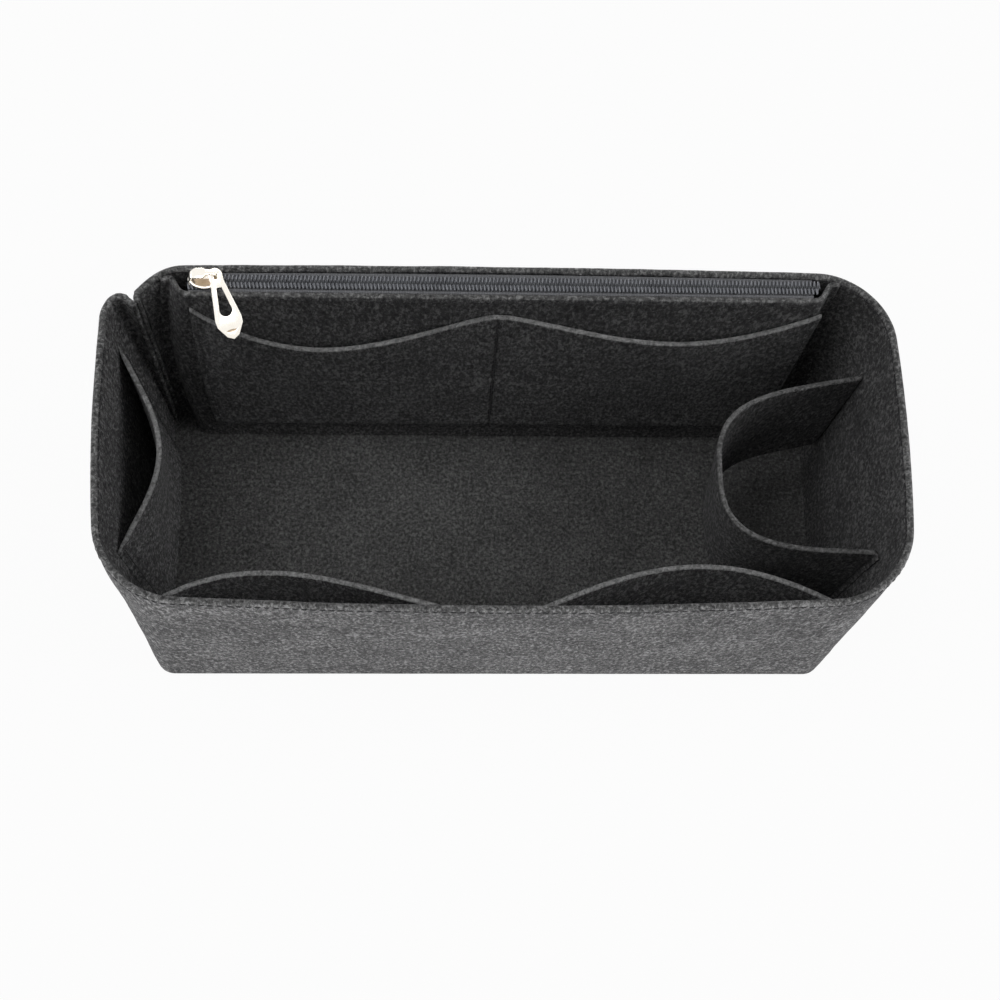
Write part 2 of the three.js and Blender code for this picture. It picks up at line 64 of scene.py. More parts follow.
# Divider in front of the zip compartment
DIVIDER_TOP, DIVIDER_FOOT = HEIGHT - 0.7, BASE_FELT + 0.3
DIVIDER_HALF, DIVIDER_FOOT_HALF = 125.0, 131.0
TOP_SPACE, FOOT_SPACE, BEND, DIVIDER_FLANGE, LEFT_FOOT_FLANGE = 8.9, 7.8, 4.0, 3.5, 1.6
DIVIDER_FLARE, POCKET_FLARE, FLARE_POWER = 12.0, 6.5, 2.4

# Back pockets: the drops below the rim of the two scoops, of the ends and of the peak between them
BACK_LEFT, BACK_RIGHT, BACK_PEAK, BACK_FOOT = 118.0, 123.0, -1.5, 19.0
SCOOP_DROP, END_DROP, PEAK_DROP = (40.0, 31.0), 9.5, 13.5
SCOOP, SOFT, END_POWER, PEAK_POWER = 0.6, 0.05, 2.3, 1.55
BACK_BULGE, BACK_GAP, BACK_GROOVE, BACK_GROOVE_WIDTH = 2.9, 0.3, 0.7, 0.8

# Left and front pockets; pairs are for the left and the right one
LEFT_TOP_FRONT, LEFT_TOP_BACK, LEFT_HALF, LEFT_MID = 113.0, 127.0, 39.5, 2.5
LEFT_BULGE, LEFT_ROUND, LEFT_STAND = 15.7, 1.25, 2.6
FRONT_TOP, FRONT_HALF, FRONT_MID, POCKET_RISE = 120.0, 131.0, 7.0, 1.2
FRONT_BULGE, FRONT_SKEW, FRONT_FULL = (15.8, 19.2), (1.54, 1.12), (0.71, 0.89)

# Bottle strap; pairs are for its front and back half
STRAP_TOP, STRAP_FOOT, REACH_TOP, REACH_FOOT, STRAP_FLANGE = 112.0, 33.0, 56.3, 51.3, 3.0
STRAP_HALF, STRAP_FLARE, STRAP_ROUND = (33.6, 33.2), (0.8, 4.8), (3.2, 2.8)
STRAP_TURN = math.pi / 2 - math.pi / 26

# Zip: tapes, coils, slider and pull
ZIP_HALF, TAPE_HALF, TAPE_Z, TAPE, TURN_DOWN = 119.5, 118.2, HEIGHT - 2.2, 0.5, 8.5
TAPE_FLAT, TAPE_STEP, TAPE_STAND, CHAIN_GAP = 2.75, 0.9, 0.3, 0.15
COIL_W, COIL_H, SPREAD, CHAIN_SPACE, ZIP_GAP = 2.5, 1.8, 0.9, 4.9, 0.3
COIL_PITCH, COIL_WIRE, COIL_HOOK, COIL_ANCHOR = 1.42, 0.36, 0.45, 46.0
SLIDER_X, SLIDER_L, SLIDER_W, PLATE = -112.0, 13.2, 6.0, 1.1
TOP_HALF, TOP_WIDE, BRIDGE, BRIDGE_BAR, LEG_INSET = 5.9, 4.0, 5.0, 1.3, 2.2
PULL_L, PULL_W, PULL_T, EYE_R, EYE_HOLE = 24.4, 10.0, 1.2, 2.7, 1.4
PULL_DROOP, PULL_LEAN, CREASE_AT = math.radians(23.5), math.radians(18), 0.865


def mix(a, b, t):
    return a + (b - a) * t


def noise(p, seed=0):
    """Smooth noise from -1 to 1 at points p."""
    p = np.asarray(p, float)
    cell = np.floor(p).astype(np.int64)
    f = p - cell
    f = f * f * (3 - 2 * f)
    out = 0.0
    for k in range(8):
        d = np.array([k & 1, k >> 1 & 1, k >> 2])
        c = cell + d
        h = c[..., 0] * 374761393 + c[..., 1] * 668265263 + c[..., 2] * 1442695041
        h = (h + seed * 974711) & 0x7FFFFFFF
        h = ((h ^ (h >> 13)) * 1274126177) & 0x7FFFFFFF
        value = ((h ^ (h >> 16)) & 0xFFFF) / 32767.5 - 1
        w = np.prod(np.where(d == 1, f, 1 - f), axis=-1)
        out = out + value * w
    return out


def smooth(t):
    t = np.clip(t, 0, 1)
    return t * t * (3 - 2 * t)


# Outline of the band


def seam_offset(turn, corner):
    """The back wall's end sinks and the end wall's end stands out, with a notch between them."""
    past = turn - SEAM_TURN
    notch = NOTCH * np.exp(-((corner * past / NOTCH_WIDTH) ** 2))
    fade = 1 - LOBE_FADE * smooth((turn - LOBE_END) / (math.pi / 2 - LOBE_END))
    before = -SINK * smooth(turn / SEAM_TURN)
    after = LOBE * smooth(past / LOBE_RISE) * fade - SINK * (1 - smooth(past / SINK_RISE))
    return np.where(past <= 0, before, after) - notch


def runs(s, inset):
    """The outline's corners and straight runs in order, set in from the outer face."""
    corner = max(0.6, s["corner"] - inset)
    half = s["length"] / 2 - inset - s["end"]
    front = s["depth"] / 2 - inset - s["front"]
    back = s["depth"] / 2 - inset - s["back"]
    centres = [
        (half - corner, corner - front, -math.pi / 2, SHORT_N),
        (half - corner, back - corner, 0.0, LONG_N),
        (corner - half, back - corner, math.pi / 2, SHORT_N),
        (corner - half, corner - front, math.pi, LONG_N),
    ]
    out = []
    for k, (cx, cy, start, n) in enumerate(centres):
        count = 8 * CORNER_N if k == 2 else CORNER_N
        turn = np.linspace(0, math.pi / 2, count + 1)
        reach = corner + (s["seam"] * seam_offset(turn, corner) if k == 2 else 0.0)
        arc = np.c_[cx + reach * np.cos(start + turn), cy + reach * np.sin(start + turn)]
        nx, ny, following, _ = centres[(k + 1) % 4]
        to = np.array([nx + corner * math.cos(following), ny + corner * math.sin(following)])
        t = (np.arange(1, n) / n)[:, None]
        out += [arc, mix(arc[-1], to, t)]
    for p in out:
        side = np.where(p[:, 1] < 0, front, back)
        bow = np.where(p[:, 1] < 0, s["front"], s["back"])
        x, y = p[:, 0] / half, p[:, 1] / side
        p[:, 0] += s["end"] * x * (1 - y ** 2) - s["skew"] * y * np.clip(-x, 0, 1)
        p[:, 1] += bow * y * (1 - x ** 2)
    return out


def levels(z, inset):
    """Those runs at height z."""
    return [mix(a, b, z / HEIGHT) for a, b in zip(runs(FOOT, inset), runs(RIM, inset))]


class Wall:
    """One face of the band as a table: where it is for a place along it and a height."""

    def __init__(self, stand, axis, side):
        reach = (146, 62)[axis]
        self.v = np.linspace(-reach, reach, 2 * reach + 1)
        self.z = np.linspace(0, HEIGHT, 31)
        rows = []
        for z in self.z:
            p = np.concatenate(levels(z, BAND_FELT + stand))
            p = p[p[:, 1 - axis] * side > 0]
            p = p[np.argsort(p[:, axis])]
            rows.append(np.interp(self.v, p[:, axis], p[:, 1 - axis]))
        self.t = np.array(rows)

    def __call__(self, v, z):
        v, z = np.broadcast_arrays(np.asarray(v, float), np.asarray(z, float))
        i = np.clip((v - self.v[0]) / (self.v[1] - self.v[0]), 0, len(self.v) - 1.001)
        k = np.clip(z / self.z[1], 0, len(self.z) - 1.001)
        i0, k0 = i.astype(int), k.astype(int)
        a, b = i - i0, k - k0
        low = mix(self.t[k0, i0], self.t[k0, i0 + 1], a)
        high = mix(self.t[k0 + 1, i0], self.t[k0 + 1, i0 + 1], a)
        return mix(low, high, b)


SEWN = TOUCH + PANEL_FELT / 2
back_face = Wall(0.0, 0, 1)
back_sewn = Wall(SEWN, 0, 1)
front_sewn = Wall(SEWN, 0, -1)
right_sewn = Wall(SEWN, 1, 1)
left_sewn = Wall(SEWN, 1, -1)

# Materials


class Look:
    """A node material with a principled shader."""

    def __init__(self, name, **sockets):
        self.material = bpy.data.materials.new(name)
        self.material.use_nodes = True
        self.tree = self.material.node_tree
        self.shader = self.tree.nodes["Principled BSDF"]
        for key, value in sockets.items():
            self.shader.inputs[key.replace("_", " ")].default_value = value
        self.coords = self.node("ShaderNodeTexCoord").outputs["Object"]

    def node(self, kind, **settings):
        n = self.tree.nodes.new(kind)
        for key, value in settings.items():
            setattr(n, key, value)
        return n

    def link(self, a, b):
        self.tree.links.new(a, b)

    def space(self, scale, turn=(0, 0, 0)):
        n = self.node("ShaderNodeMapping")
        n.inputs["Scale"].default_value = scale
        n.inputs["Rotation"].default_value = turn
        self.link(self.coords, n.inputs["Vector"])
        return n.outputs["Vector"]

    def grain(self, vector, scale=1.0, detail=3.0, rough=0.6, distortion=0.0):
        n = self.node("ShaderNodeTexNoise")
        n.inputs["Scale"].default_value = scale
        n.inputs["Detail"].default_value = detail
        n.inputs["Roughness"].default_value = rough
        n.inputs["Distortion"].default_value = distortion
        self.link(vector, n.inputs["Vector"])
        return n.outputs["Fac"]

    def wave(self, vector, scale, direction="X", distortion=0.0, detail=0.0, detail_scale=1.0):
        n = self.node("ShaderNodeTexWave", bands_direction=direction)
        n.inputs["Scale"].default_value = scale
        n.inputs["Distortion"].default_value = distortion
        n.inputs["Detail"].default_value = detail
        n.inputs["Detail Scale"].default_value = detail_scale
        self.link(vector, n.inputs["Vector"])
        return n.outputs["Fac"]

    def math(self, op, a, b):
        n = self.node("ShaderNodeMath", operation=op)
        for socket, value in zip(n.inputs, (a, b)):
            if isinstance(value, (int, float)):
                socket.default_value = value
            else:
                self.link(value, socket)
        return n.outputs[0]

    def spread(self, value, low, high, to_low=0.0, to_high=1.0):
        n = self.node("ShaderNodeMapRange")
        for key, v in (("From Min", low), ("From Max", high), ("To Min", to_low), ("To Max", to_high)):
            n.inputs[key].default_value = v
        self.link(value, n.inputs["Value"])
        return n.outputs["Result"]

    def ramp(self, value, stops):
        n = self.node("ShaderNodeValToRGB")
        while len(n.color_ramp.elements) < len(stops):
            n.color_ramp.elements.new(0.5)
        for element, (place, colour) in zip(n.color_ramp.elements, stops):
            element.position = place
            element.color = (*colour, 1)
        self.link(value, n.inputs["Fac"])
        return n.outputs["Color"]

    def finish(self, colour, height, distance, strength=1.0, rough=None):
        self.link(colour, self.shader.inputs["Base Color"])
        if rough is not None:
            self.link(rough, self.shader.inputs["Roughness"])
        bump = self.node("ShaderNodeBump")
        bump.inputs["Strength"].default_value = strength
        bump.inputs["Distance"].default_value = distance
        self.link(height, bump.inputs["Height"])
        self.link(bump.outputs["Normal"], self.shader.inputs["Normal"])
        return self.material


def felt_look(name, dark, mid, light, fuzz):
    """Needled fibres from dark to light grey: clumps, crossing fibres and a slow drift of tone."""
    m = Look(name, Roughness=0.95, Specular_IOR_Level=0.1, Sheen_Weight=fuzz, Sheen_Roughness=0.55)
    m.shader.inputs["Sheen Tint"].default_value = (0.8, 0.8, 0.82, 1)
    clumps = m.grain(m.space((760, 760, 360)), 1, 3, 0.68, 0.5)
    fibres = []
    for scale, turn in (
        ((260, 1500, 700), (0.3, 0.2, 0.5)),
        ((1500, 280, 700), (0.5, 0.1, -0.4)),
        ((1500, 1500, 170), (0.2, -0.25, 0.2)),
    ):
        fibres.append(m.grain(m.space(scale, turn), 1, 2, 0.55, 1.2))
    crossing = m.math("MAXIMUM", m.math("MAXIMUM", fibres[0], fibres[1]), fibres[2])
    drift = m.grain(m.space((38, 38, 38)), 1, 3, 0.6)
    tone = m.math("ADD", m.math("MULTIPLY", clumps, 0.9), m.math("MULTIPLY", crossing, 0.36))
    tone = m.math("ADD", tone, m.math("MULTIPLY", drift, 0.16))
    tone = m.spread(tone, 0.576, 0.916)
    colour = m.ramp(tone, [(0.04, dark), (0.5, mid), (0.96, light)])
    height = m.math("ADD", m.math("MULTIPLY", clumps, 0.7), m.math("MULTIPLY", crossing, 0.6))
    return m.finish(colour, height, 0.0008, 0.8)


# Dark, middle and light tones and the fuzz of each felt look; the rim, pocket and strap-edge looks are
# copies of the same felt with painted light and shade
FELTS = {
    "felt_melange": ((0.022, 0.022, 0.023), (0.106, 0.105, 0.106), (0.38, 0.378, 0.38), 0.12),
    "felt_base_melange": ((0.05, 0.05, 0.05), (0.114, 0.114, 0.113), (0.24, 0.24, 0.238), 0.12),
    # Painted light: the band's and the divider's cut edges take their own tone of the felt, set in place of
    # the light on the rim's top
    "felt_rim_painted_light": ((0.05, 0.05, 0.05), (0.15, 0.15, 0.15), (0.4, 0.4, 0.4), 0.15),
    "felt_cut_edge": ((0.126, 0.126, 0.126), (0.28, 0.28, 0.28), (0.48, 0.48, 0.48), 0.2),
    # Painted light: a lighter copy of the wall felt for the back and left pockets, for the light their
    # faces catch
    "felt_pocket_melange_painted_light": ((0.03, 0.03, 0.031), (0.136, 0.135, 0.137), (0.44, 0.44, 0.442), 0.12),
    # Painted shade: a darker copy of the cut-edge felt for the strap's edges, where less light falls
    "felt_strap_edge_painted_shade": ((0.08, 0.08, 0.08), (0.19, 0.19, 0.19), (0.36, 0.36, 0.36), 0.15),
}
looks = [felt_look(name, *tones) for name, tones in FELTS.items()]
felt, felt_floor, felt_rim_painted_light, felt_edge, felt_pocket_painted_light, felt_strap = looks


def tape_look():
    """A plain weave with slubs."""
    m = Look("zip_tape_weave", Roughness=0.8, Specular_IOR_Level=0.25, Sheen_Weight=0.15)
    ribs = m.wave(m.space((1, 1, 1)), 520, "X", 0.6, 1, 2)
    picks = m.wave(m.space((1, 1, 1)), 640, "Y", 0.8, 1, 2)
    weave = m.math("MULTIPLY", ribs, picks)
    slub = m.grain(m.space((500, 1800, 1800)), 1, 3, 0.6)
    tone = m.math("ADD", m.math("MULTIPLY", weave, 0.5), m.math("MULTIPLY", slub, 0.6))
    tone = m.spread(tone, 0.2, 0.85)
    colour = m.ramp(tone, [(0.0, (0.125, 0.127, 0.136)), (1.0, (0.4, 0.406, 0.43))])
    return m.finish(colour, weave, 0.00015, 0.8)


def coil_look(name, low, high):
    """Nylon filament with a slow change of tone."""
    m = Look(name, Specular_IOR_Level=0.4)
    drift = m.grain(m.space((260, 260, 260)), 1, 3, 0.6)
    fine = m.grain(m.space((2600, 2600, 2600)), 1, 2, 0.5)
    colour = m.ramp(drift, [(0.3, low), (0.7, high)])
    return m.finish(colour, fine, 0.00004, 0.4, m.spread(fine, 0.3, 0.7, 0.34, 0.5))


def thread_look():
    """Twisted dark thread."""
    m = Look("sewing_thread", Specular_IOR_Level=0.3, Sheen_Weight=0.1)
    twist = m.wave(m.space((1, 1, 1), (0.6, 0.5, 0.7)), 900, "DIAGONAL", 0.5)
    drift = m.grain(m.space((700, 700, 700)), 1, 2, 0.5)
    tone = m.math("ADD", m.math("MULTIPLY", twist, 0.5), m.math("MULTIPLY", drift, 0.5))
    colour = m.ramp(tone, [(0.25, (0.014, 0.014, 0.015)), (0.75, (0.06, 0.06, 0.063))])
    return m.finish(colour, twist, 0.00006, 0.6, m.spread(drift, 0.3, 0.7, 0.55, 0.75))


def metal_look(name, low, high, rough):
    """Metal with smears and fine scratches."""
    m = Look(name, Metallic=1.0)
    smear = m.grain(m.space((90, 90, 90)), 1, 3, 0.6)
    scratch = m.grain(m.space((300, 3800, 900), (0.2, 0.1, 0.4)), 1, 3, 0.6)
    colour = m.ramp(smear, [(0.3, low), (0.7, high)])
    return m.finish(colour, scratch, 0.00002, 0.25, m.spread(scratch, 0.3, 0.7, rough, rough + 0.12))


tape_cloth, thread = tape_look(), thread_look()
nylon = coil_look("zip_coil_nylon", (0.185, 0.192, 0.212), (0.33, 0.34, 0.37))
# Painted shade: a darker copy of the nylon for the coil's loop ends, where the two sides interlock and
# where the coil meets the tape
nylon_painted_shade = coil_look("zip_coil_nylon_painted_shade", (0.06, 0.062, 0.07), (0.115, 0.12, 0.13))
metal = metal_look("zip_metal_gold", (0.93, 0.88, 0.79), (0.97, 0.94, 0.88), 0.12)
# Painted shade: a dark copy of the metal for the deep left end of the slider's dish
metal_painted_deep_shade = metal_look("zip_metal_eye_painted_shade", (0.09, 0.07, 0.05), (0.2, 0.16, 0.12), 0.3)
# Painted shade: a tan copy of the metal for the front half of the slider's dish and the inside of the
# pull's crease
metal_painted_shade = metal_look("zip_metal_recess_painted_shade", (0.4, 0.31, 0.22), (0.6, 0.49, 0.37), 0.25)


# Meshes


def linked(name, data):
    """An object in the scene for a mesh, lamp or camera."""
    obj = bpy.data.objects.new(name, data)
    bpy.context.scene.collection.objects.link(obj)
    return obj


def make(name, points, faces, materials, body, which=None):
    """A piece from points in millimetres, riding on a body."""
    mesh = bpy.data.meshes.new(name)
    mesh.from_pydata((np.asarray(points) / 1000).tolist(), [], faces)
    for m in materials:
        mesh.materials.append(m)
    if which is not None:
        mesh.polygons.foreach_set("material_index", np.asarray(which, np.int32))
    mesh.polygons.foreach_set("use_smooth", np.full(len(faces), True))
    mesh.update()
    obj = linked(name, mesh)
    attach(obj, body)
    return obj


def unit(v):
    return v / np.maximum(np.linalg.norm(v, axis=-1, keepdims=True), 1e-12)


def normals(grid):
    return unit(np.cross(np.gradient(grid, axis=1), np.gradient(grid, axis=0)))


def sheet_mesh(
    grid, thick, lump, ragged, rounding=0.32, steps=3, seed=1, groove=None, plain=(0, 0), thin=None, room=1
):
    """A closed sheet around a middle surface, with softly rounded cut edges.

    Its faces are uneven by lump and its edges by ragged. The groove is pressed into both faces. Thin is
    the share of the thickness that is left, taken from the side that room names. Plain counts the columns
    at each end whose top and foot edges look like the face.
    """
    rows, cols, _ = grid.shape
    n = normals(grid)
    across, along = unit(np.gradient(grid, axis=1)), unit(np.gradient(grid, axis=0))
    half = np.full((rows, cols), thick / 2)
    if thin is not None:
        grid = grid - n * (room * half * (1 - thin))[..., None]
        half = half * thin
    loop = [(0, j) for j in range(cols - 1)] + [(i, cols - 1) for i in range(rows - 1)]
    loop += [(rows - 1, j) for j in range(cols - 1, 0, -1)] + [(i, 0) for i in range(rows - 1, 0, -1)]
    row, col = np.array(loop).T
    border = (row, col)
    out = np.zeros((len(loop), 3))
    out -= np.where((row == 0)[:, None], along[border], 0)
    out += np.where((row == rows - 1)[:, None], along[border], 0)
    out -= np.where((col == 0)[:, None], across[border], 0)
    out += np.where((col == cols - 1)[:, None], across[border], 0)
    out = unit(out)
    middle, facing, deep = grid[border], n[border], half[border][:, None]
    r = 2 * rounding * deep
    fray = ragged * noise(middle / 3.1, seed) + ragged * 0.7 * noise(middle / 9.0, seed + 5)
    middle = middle + out * (fray - ragged)[:, None]
    faces_pts = []
    for side in (1, -1):
        fine, coarse = noise(grid / 6.5, seed + 10 + side), noise(grid / 17.0, seed + 20 + side)
        bump = lump * (0.6 * fine + 0.4 * coarse)
        if groove is not None:
            bump = bump - side * groove
        g = grid + n * (side * half + bump)[..., None]
        g[border] = middle - out * r + facing * side * deep
        faces_pts.append(g.reshape(-1, 3))
    rings = []
    turns = np.linspace(0, math.pi / 2, steps + 1)[1:]
    for side, order in ((1, turns), (-1, turns[::-1])):
        for a in order:
            rise = side * (deep - r + r * math.cos(a))
            rings.append(middle + out * (r * math.sin(a) - r) + facing * rise)
    points = np.concatenate(faces_pts + rings)
    idx = np.arange(rows * cols).reshape(rows, cols)
    a, b, c, d = idx[:-1, :-1], idx[:-1, 1:], idx[1:, 1:], idx[1:, :-1]
    top = np.stack([a, b, c, d], -1).reshape(-1, 4)
    foot = np.stack([a, d, c, b], -1).reshape(-1, 4) + rows * cols
    around = 2 * rows * cols + np.arange(len(rings) * len(loop)).reshape(len(rings), len(loop))
    chain = [idx[border], *around, idx[border] + rows * cols]
    strips = []
    for p, q in zip(chain, chain[1:]):
        strips.append(np.stack([np.roll(p, -1), p, q, np.roll(q, -1)], -1))
    strips = np.concatenate(strips)
    faces = np.concatenate([top, foot, strips])
    cut = (row == np.roll(row, -1)) & ((row == 0) | (row == rows - 1))
    cut &= (col >= plain[0]) & (col < cols - plain[1])
    which = np.r_[np.zeros(len(top) + len(foot), int), np.tile(cut.astype(int), len(chain) - 1)]
    return points, faces.tolist(), which


def felt_piece(
    name, grid, thick, node, flat, held, rests, area=None, seed=1, edge=None, face=None, **form
):
    """A felt sheet that stands for a node."""
    form = dict(lump=0.16, ragged=0.14) | form
    points, faces, which = sheet_mesh(grid, thick, seed=seed, **form)
    obj = make(name, points, faces, [face or felt, edge or felt_edge], "organizer", which)
    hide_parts(node)


def pressed_ends(grid, reach, least=0.3):
    """A share of the thickness that falls away towards the two sewn ends."""
    step = np.linalg.norm(np.diff(grid, axis=1), axis=2)
    s = np.concatenate([np.zeros((len(grid), 1)), np.cumsum(step, 1)], 1)
    near = np.minimum(s, s[:, -1:] - s)
    return least + (1 - least) * smooth(near / reach)


def way(path):
    """The distance along a polyline at each of its points."""
    return np.r_[0, np.cumsum(np.linalg.norm(np.diff(path, axis=0), axis=1))]


def along_way(path, distance):
    """Points at given distances along a polyline."""
    s = way(path)
    return np.stack([np.interp(distance, s, path[:, k]) for k in range(path.shape[1])], -1)


def rounded(points, radius, steps):
    """A polyline with its corners rounded."""
    out = [np.array(points[0], float)]
    for i in range(1, len(points) - 1):
        here = np.array(points[i], float)
        back, on = np.array(points[i - 1]) - here, np.array(points[i + 1]) - here
        back_length, on_length = np.linalg.norm(back), np.linalg.norm(on)
        cut = min(radius, back_length / 2.2, on_length / 2.2)
        p, q = here + back / back_length * cut, here + on / on_length * cut
        for k in range(steps + 1):
            t = k / steps
            out.append(p * (1 - t) ** 2 + here * 2 * t * (1 - t) + q * t * t)
    out.append(np.array(points[-1], float))
    return np.array(out)


def tube_faces(rings, n, first=0):
    """Faces between rings of n points each."""
    faces = []
    for k in range(rings - 1):
        a, b = first + k * n, first + (k + 1) * n
        faces += [(a + i, a + (i + 1) % n, b + (i + 1) % n, b + i) for i in range(n)]
    return faces


def rod_faces(rings, n, first=0):
    """Those faces and the two ends."""
    last = first + (rings - 1) * n
    ends = [tuple(range(first, first + n))[::-1], tuple(range(last, last + n))]
    return tube_faces(rings, n, first) + ends


def stitches(name, lines, pitch=2.6, share=0.74, radius=0.22, sink=0.2):
    """Sewn thread: short bowed stitches along lines given as points and outward normals."""
    rings, sides = 7, 7
    t = np.linspace(0, 1, rings)
    rise = -sink + (sink + radius * 0.75) * np.sin(np.pi * t) ** 0.6
    girth = radius * np.clip(1 - (2 * t - 1) ** 6, 0.12, 1) ** 0.5
    angle = np.arange(sides) * 2 * np.pi / sides
    points, faces, base = [], [], 0
    for path, out in lines:
        s = way(path)
        count = int(s[-1] // pitch)
        start = (s[-1] - count * pitch) / 2 + pitch * (1 - share) / 2
        where = start + pitch * (np.arange(count)[:, None] + share * t[None, :])
        at = along_way(path, where)
        n = unit(np.stack([np.interp(where, s, out[:, k]) for k in range(3)], -1))
        along = unit(np.gradient(at, axis=1))
        side = unit(np.cross(along, n))
        centre = at + n * rise[None, :, None]
        spoke = np.cos(angle)[:, None] * n[:, :, None] + np.sin(angle)[:, None] * side[:, :, None]
        ring = centre[:, :, None] + girth[None, :, None, None] * spoke
        points.append(ring.reshape(-1, 3))
        for k in range(count):
            faces += rod_faces(rings, sides, base + k * rings * sides)
        base += count * rings * sides
    make(name, np.concatenate(points), faces, [thread], "organizer")


def on_grid(grid, u, v, thick, side):
    """Points and normals on one face of a sheet, along places u, v from 0 to 1."""
    rows, cols, _ = grid.shape
    n = normals(grid)
    u, v = np.broadcast_arrays(np.asarray(u, float), np.asarray(v, float))
    i = np.clip(v * (rows - 1), 0, rows - 1.001)
    j = np.clip(u * (cols - 1), 0, cols - 1.001)
    i0, j0 = i.astype(int), j.astype(int)
    a, b = (i - i0)[:, None], (j - j0)[:, None]

    def at(g):
        low = mix(g[i0, j0], g[i0, j0 + 1], b)
        high = mix(g[i0 + 1, j0], g[i0 + 1, j0 + 1], b)
        return mix(low, high, a)

    out = unit(at(n)) * side
    return at(grid) + out * thick / 2, out


def level(path, z):
    """A path in X and Y at height z."""
    return np.c_[path, np.full(len(path), z)]


# Band: one strip round the walls, its two ends turned in at the back left corner


def band_path(z):
    parts = levels(z, BAND_FELT / 2)
    arc = parts[4]
    mid = round((len(arc) - 1) * SEAM_TURN / (math.pi / 2))
    middle = arc[mid]
    inward = np.array([math.sin(SEAM_TURN), -math.cos(SEAM_TURN)])
    sideways = np.array([math.cos(SEAM_TURN), math.sin(SEAM_TURN)])
    ends = []
    for sign in (-1, 1):
        half = arc[mid:] if sign < 0 else arc[: mid + 1][::-1]
        length = way(half)[-1]
        apart = BAND_FELT / 2 - FLAP_PRESS
        cut = min(apart + FLAP_BEND, length * 0.75)
        wall = along_way(half, np.linspace(cut, length, 20))
        root = middle + sideways * sign * apart
        depth = mix(FLAP_FOOT, FLAP, smooth((z - FLAP_FROM) / 30))
        tail = [root + inward * d for d in np.linspace(depth, FLAP_BEND, 4)]
        turn = []
        for t in np.linspace(0, 1, 7)[1:-1]:
            turn.append(tail[-1] * (1 - t) ** 2 + root * 2 * t * (1 - t) + wall[0] * t * t)
        ends.append(np.concatenate([np.array(tail), np.array(turn), wall]))
    left, back = ends
    return np.concatenate([left, *parts[5:], *parts[:4], back[::-1]])


seam_z = HEIGHT - RIM_SEAM
seam_rows = seam_z + np.array([-1.6, -0.8, 0, 0.8, 1.6])
band_z = np.r_[np.linspace(0, 8, 5), np.linspace(8, 144, 62)[1:], seam_rows, HEIGHT]
band = np.stack([level(band_path(z), z) for z in band_z])
sway = 0.55 * noise(band / 46.0, 3) + 0.25 * noise(band / 21.0, 4)
slack = np.clip(band[..., 2] / 50, 0, 1) * np.clip((HEIGHT + 12 - band[..., 2]) / 30, 0.4, 1)
band = band + normals(band) * (sway * slack * pressed_ends(band, 14.0, 0.0))[..., None]
tail_n, tail_drop = 9, np.array([0.2, 0.6, 1.0, 1.5])
for tail in (slice(None, tail_n), slice(-tail_n, None)):
    band[-4:, tail, 2] -= tail_drop[:, None]
pressed = RIM_GROOVE * np.exp(-(((band[..., 2] - seam_z) / RIM_GROOVE_WIDTH) ** 2))
pressed *= 0.75 + 0.5 * noise(band / 5.0, 8)
# The band's cut edges take the rim felt as painted light
felt_piece(
    "felt_band", band, BAND_FELT, "wall_band", (0.150, 0.866), "folded", ["base_panel"], seed=3,
    edge=felt_rim_painted_light, rounding=0.5, steps=5, groove=pressed,
)

# Base: its columns lie closer together at the ends, where the corners are rounded
edge = np.concatenate(levels(0, BAND_FELT + TOUCH))
ease = 1.45
base_x = edge[:, 0].max() * np.sin(np.linspace(-1, 1, 141) * ease) / math.sin(ease)
nook = FOOT["corner"] - BAND_FELT
into = np.clip((np.abs(base_x) - base_x[-1] + nook) / nook, 0, 1)
base_y = edge[:, 1].max() - nook * (1 - np.sqrt(1 - (into * 0.92) ** 2))
base_grid = np.stack([level(np.c_[base_x, base_y * t], BASE_FELT / 2) for t in np.linspace(-1, 1, 61)])
felt_piece(
    "felt_base", base_grid, BASE_FELT, "base_panel", (0.292, 0.119), "laid", ["wall_band"], seed=11,
    face=felt_floor, edge=felt_floor, lump=0.0, ragged=0.0, rounding=0.08,
)

# Divider in front of the zip compartment
divider_top_y = float(back_face(0, DIVIDER_TOP)) - TOP_SPACE - PANEL_FELT / 2
divider_foot_y = float(back_face(0, DIVIDER_FOOT)) - FOOT_SPACE - PANEL_FELT / 2


def divider_y(z):
    return mix(divider_foot_y, divider_top_y, (z - DIVIDER_FOOT) / (DIVIDER_TOP - DIVIDER_FOOT))


def flare(z, amount):
    """How much further out a left end stands towards the foot."""
    return amount * (1 - (z / DIVIDER_TOP) ** FLARE_POWER)


def divider_row(z):
    t = z / DIVIDER_TOP
    left = (DIVIDER_HALF + flare(z, DIVIDER_FLARE), mix(LEFT_FOOT_FLANGE, DIVIDER_FLANGE, t))
    right = (mix(DIVIDER_FOOT_HALF, DIVIDER_HALF, t), DIVIDER_FLANGE)
    ends = []
    for s, (half, flange) in ((-1, left), (1, right)):
        ends.append([
            (s * (half + flange), float(back_sewn(s * (half + flange), z))),
            (s * half, float(back_sewn(s * half, z))),
            (s * (half - BEND), float(divider_y(z))),
        ])
    path = rounded(ends[0] + ends[1][::-1], BEND * 0.75, 9)
    k = len(path) // 2
    straight = mix(path[k - 1], path[k], np.linspace(0, 1, 111)[1:-1, None])
    return level(np.concatenate([path[:k], straight, path[k:]]), z)


divider = np.stack([divider_row(z) for z in np.linspace(DIVIDER_FOOT, DIVIDER_TOP, 62)])
# The divider's cut edges take the rim felt as painted light
felt_piece(
    "felt_divider", divider, PANEL_FELT, "zip_divider", (0.143, 0.290), "folded", ["wall_band"], seed=21,
    edge=felt_rim_painted_light, plain=(11, 0), thin=pressed_ends(divider, 4.0, 0.7), room=1,
)


# Back pockets


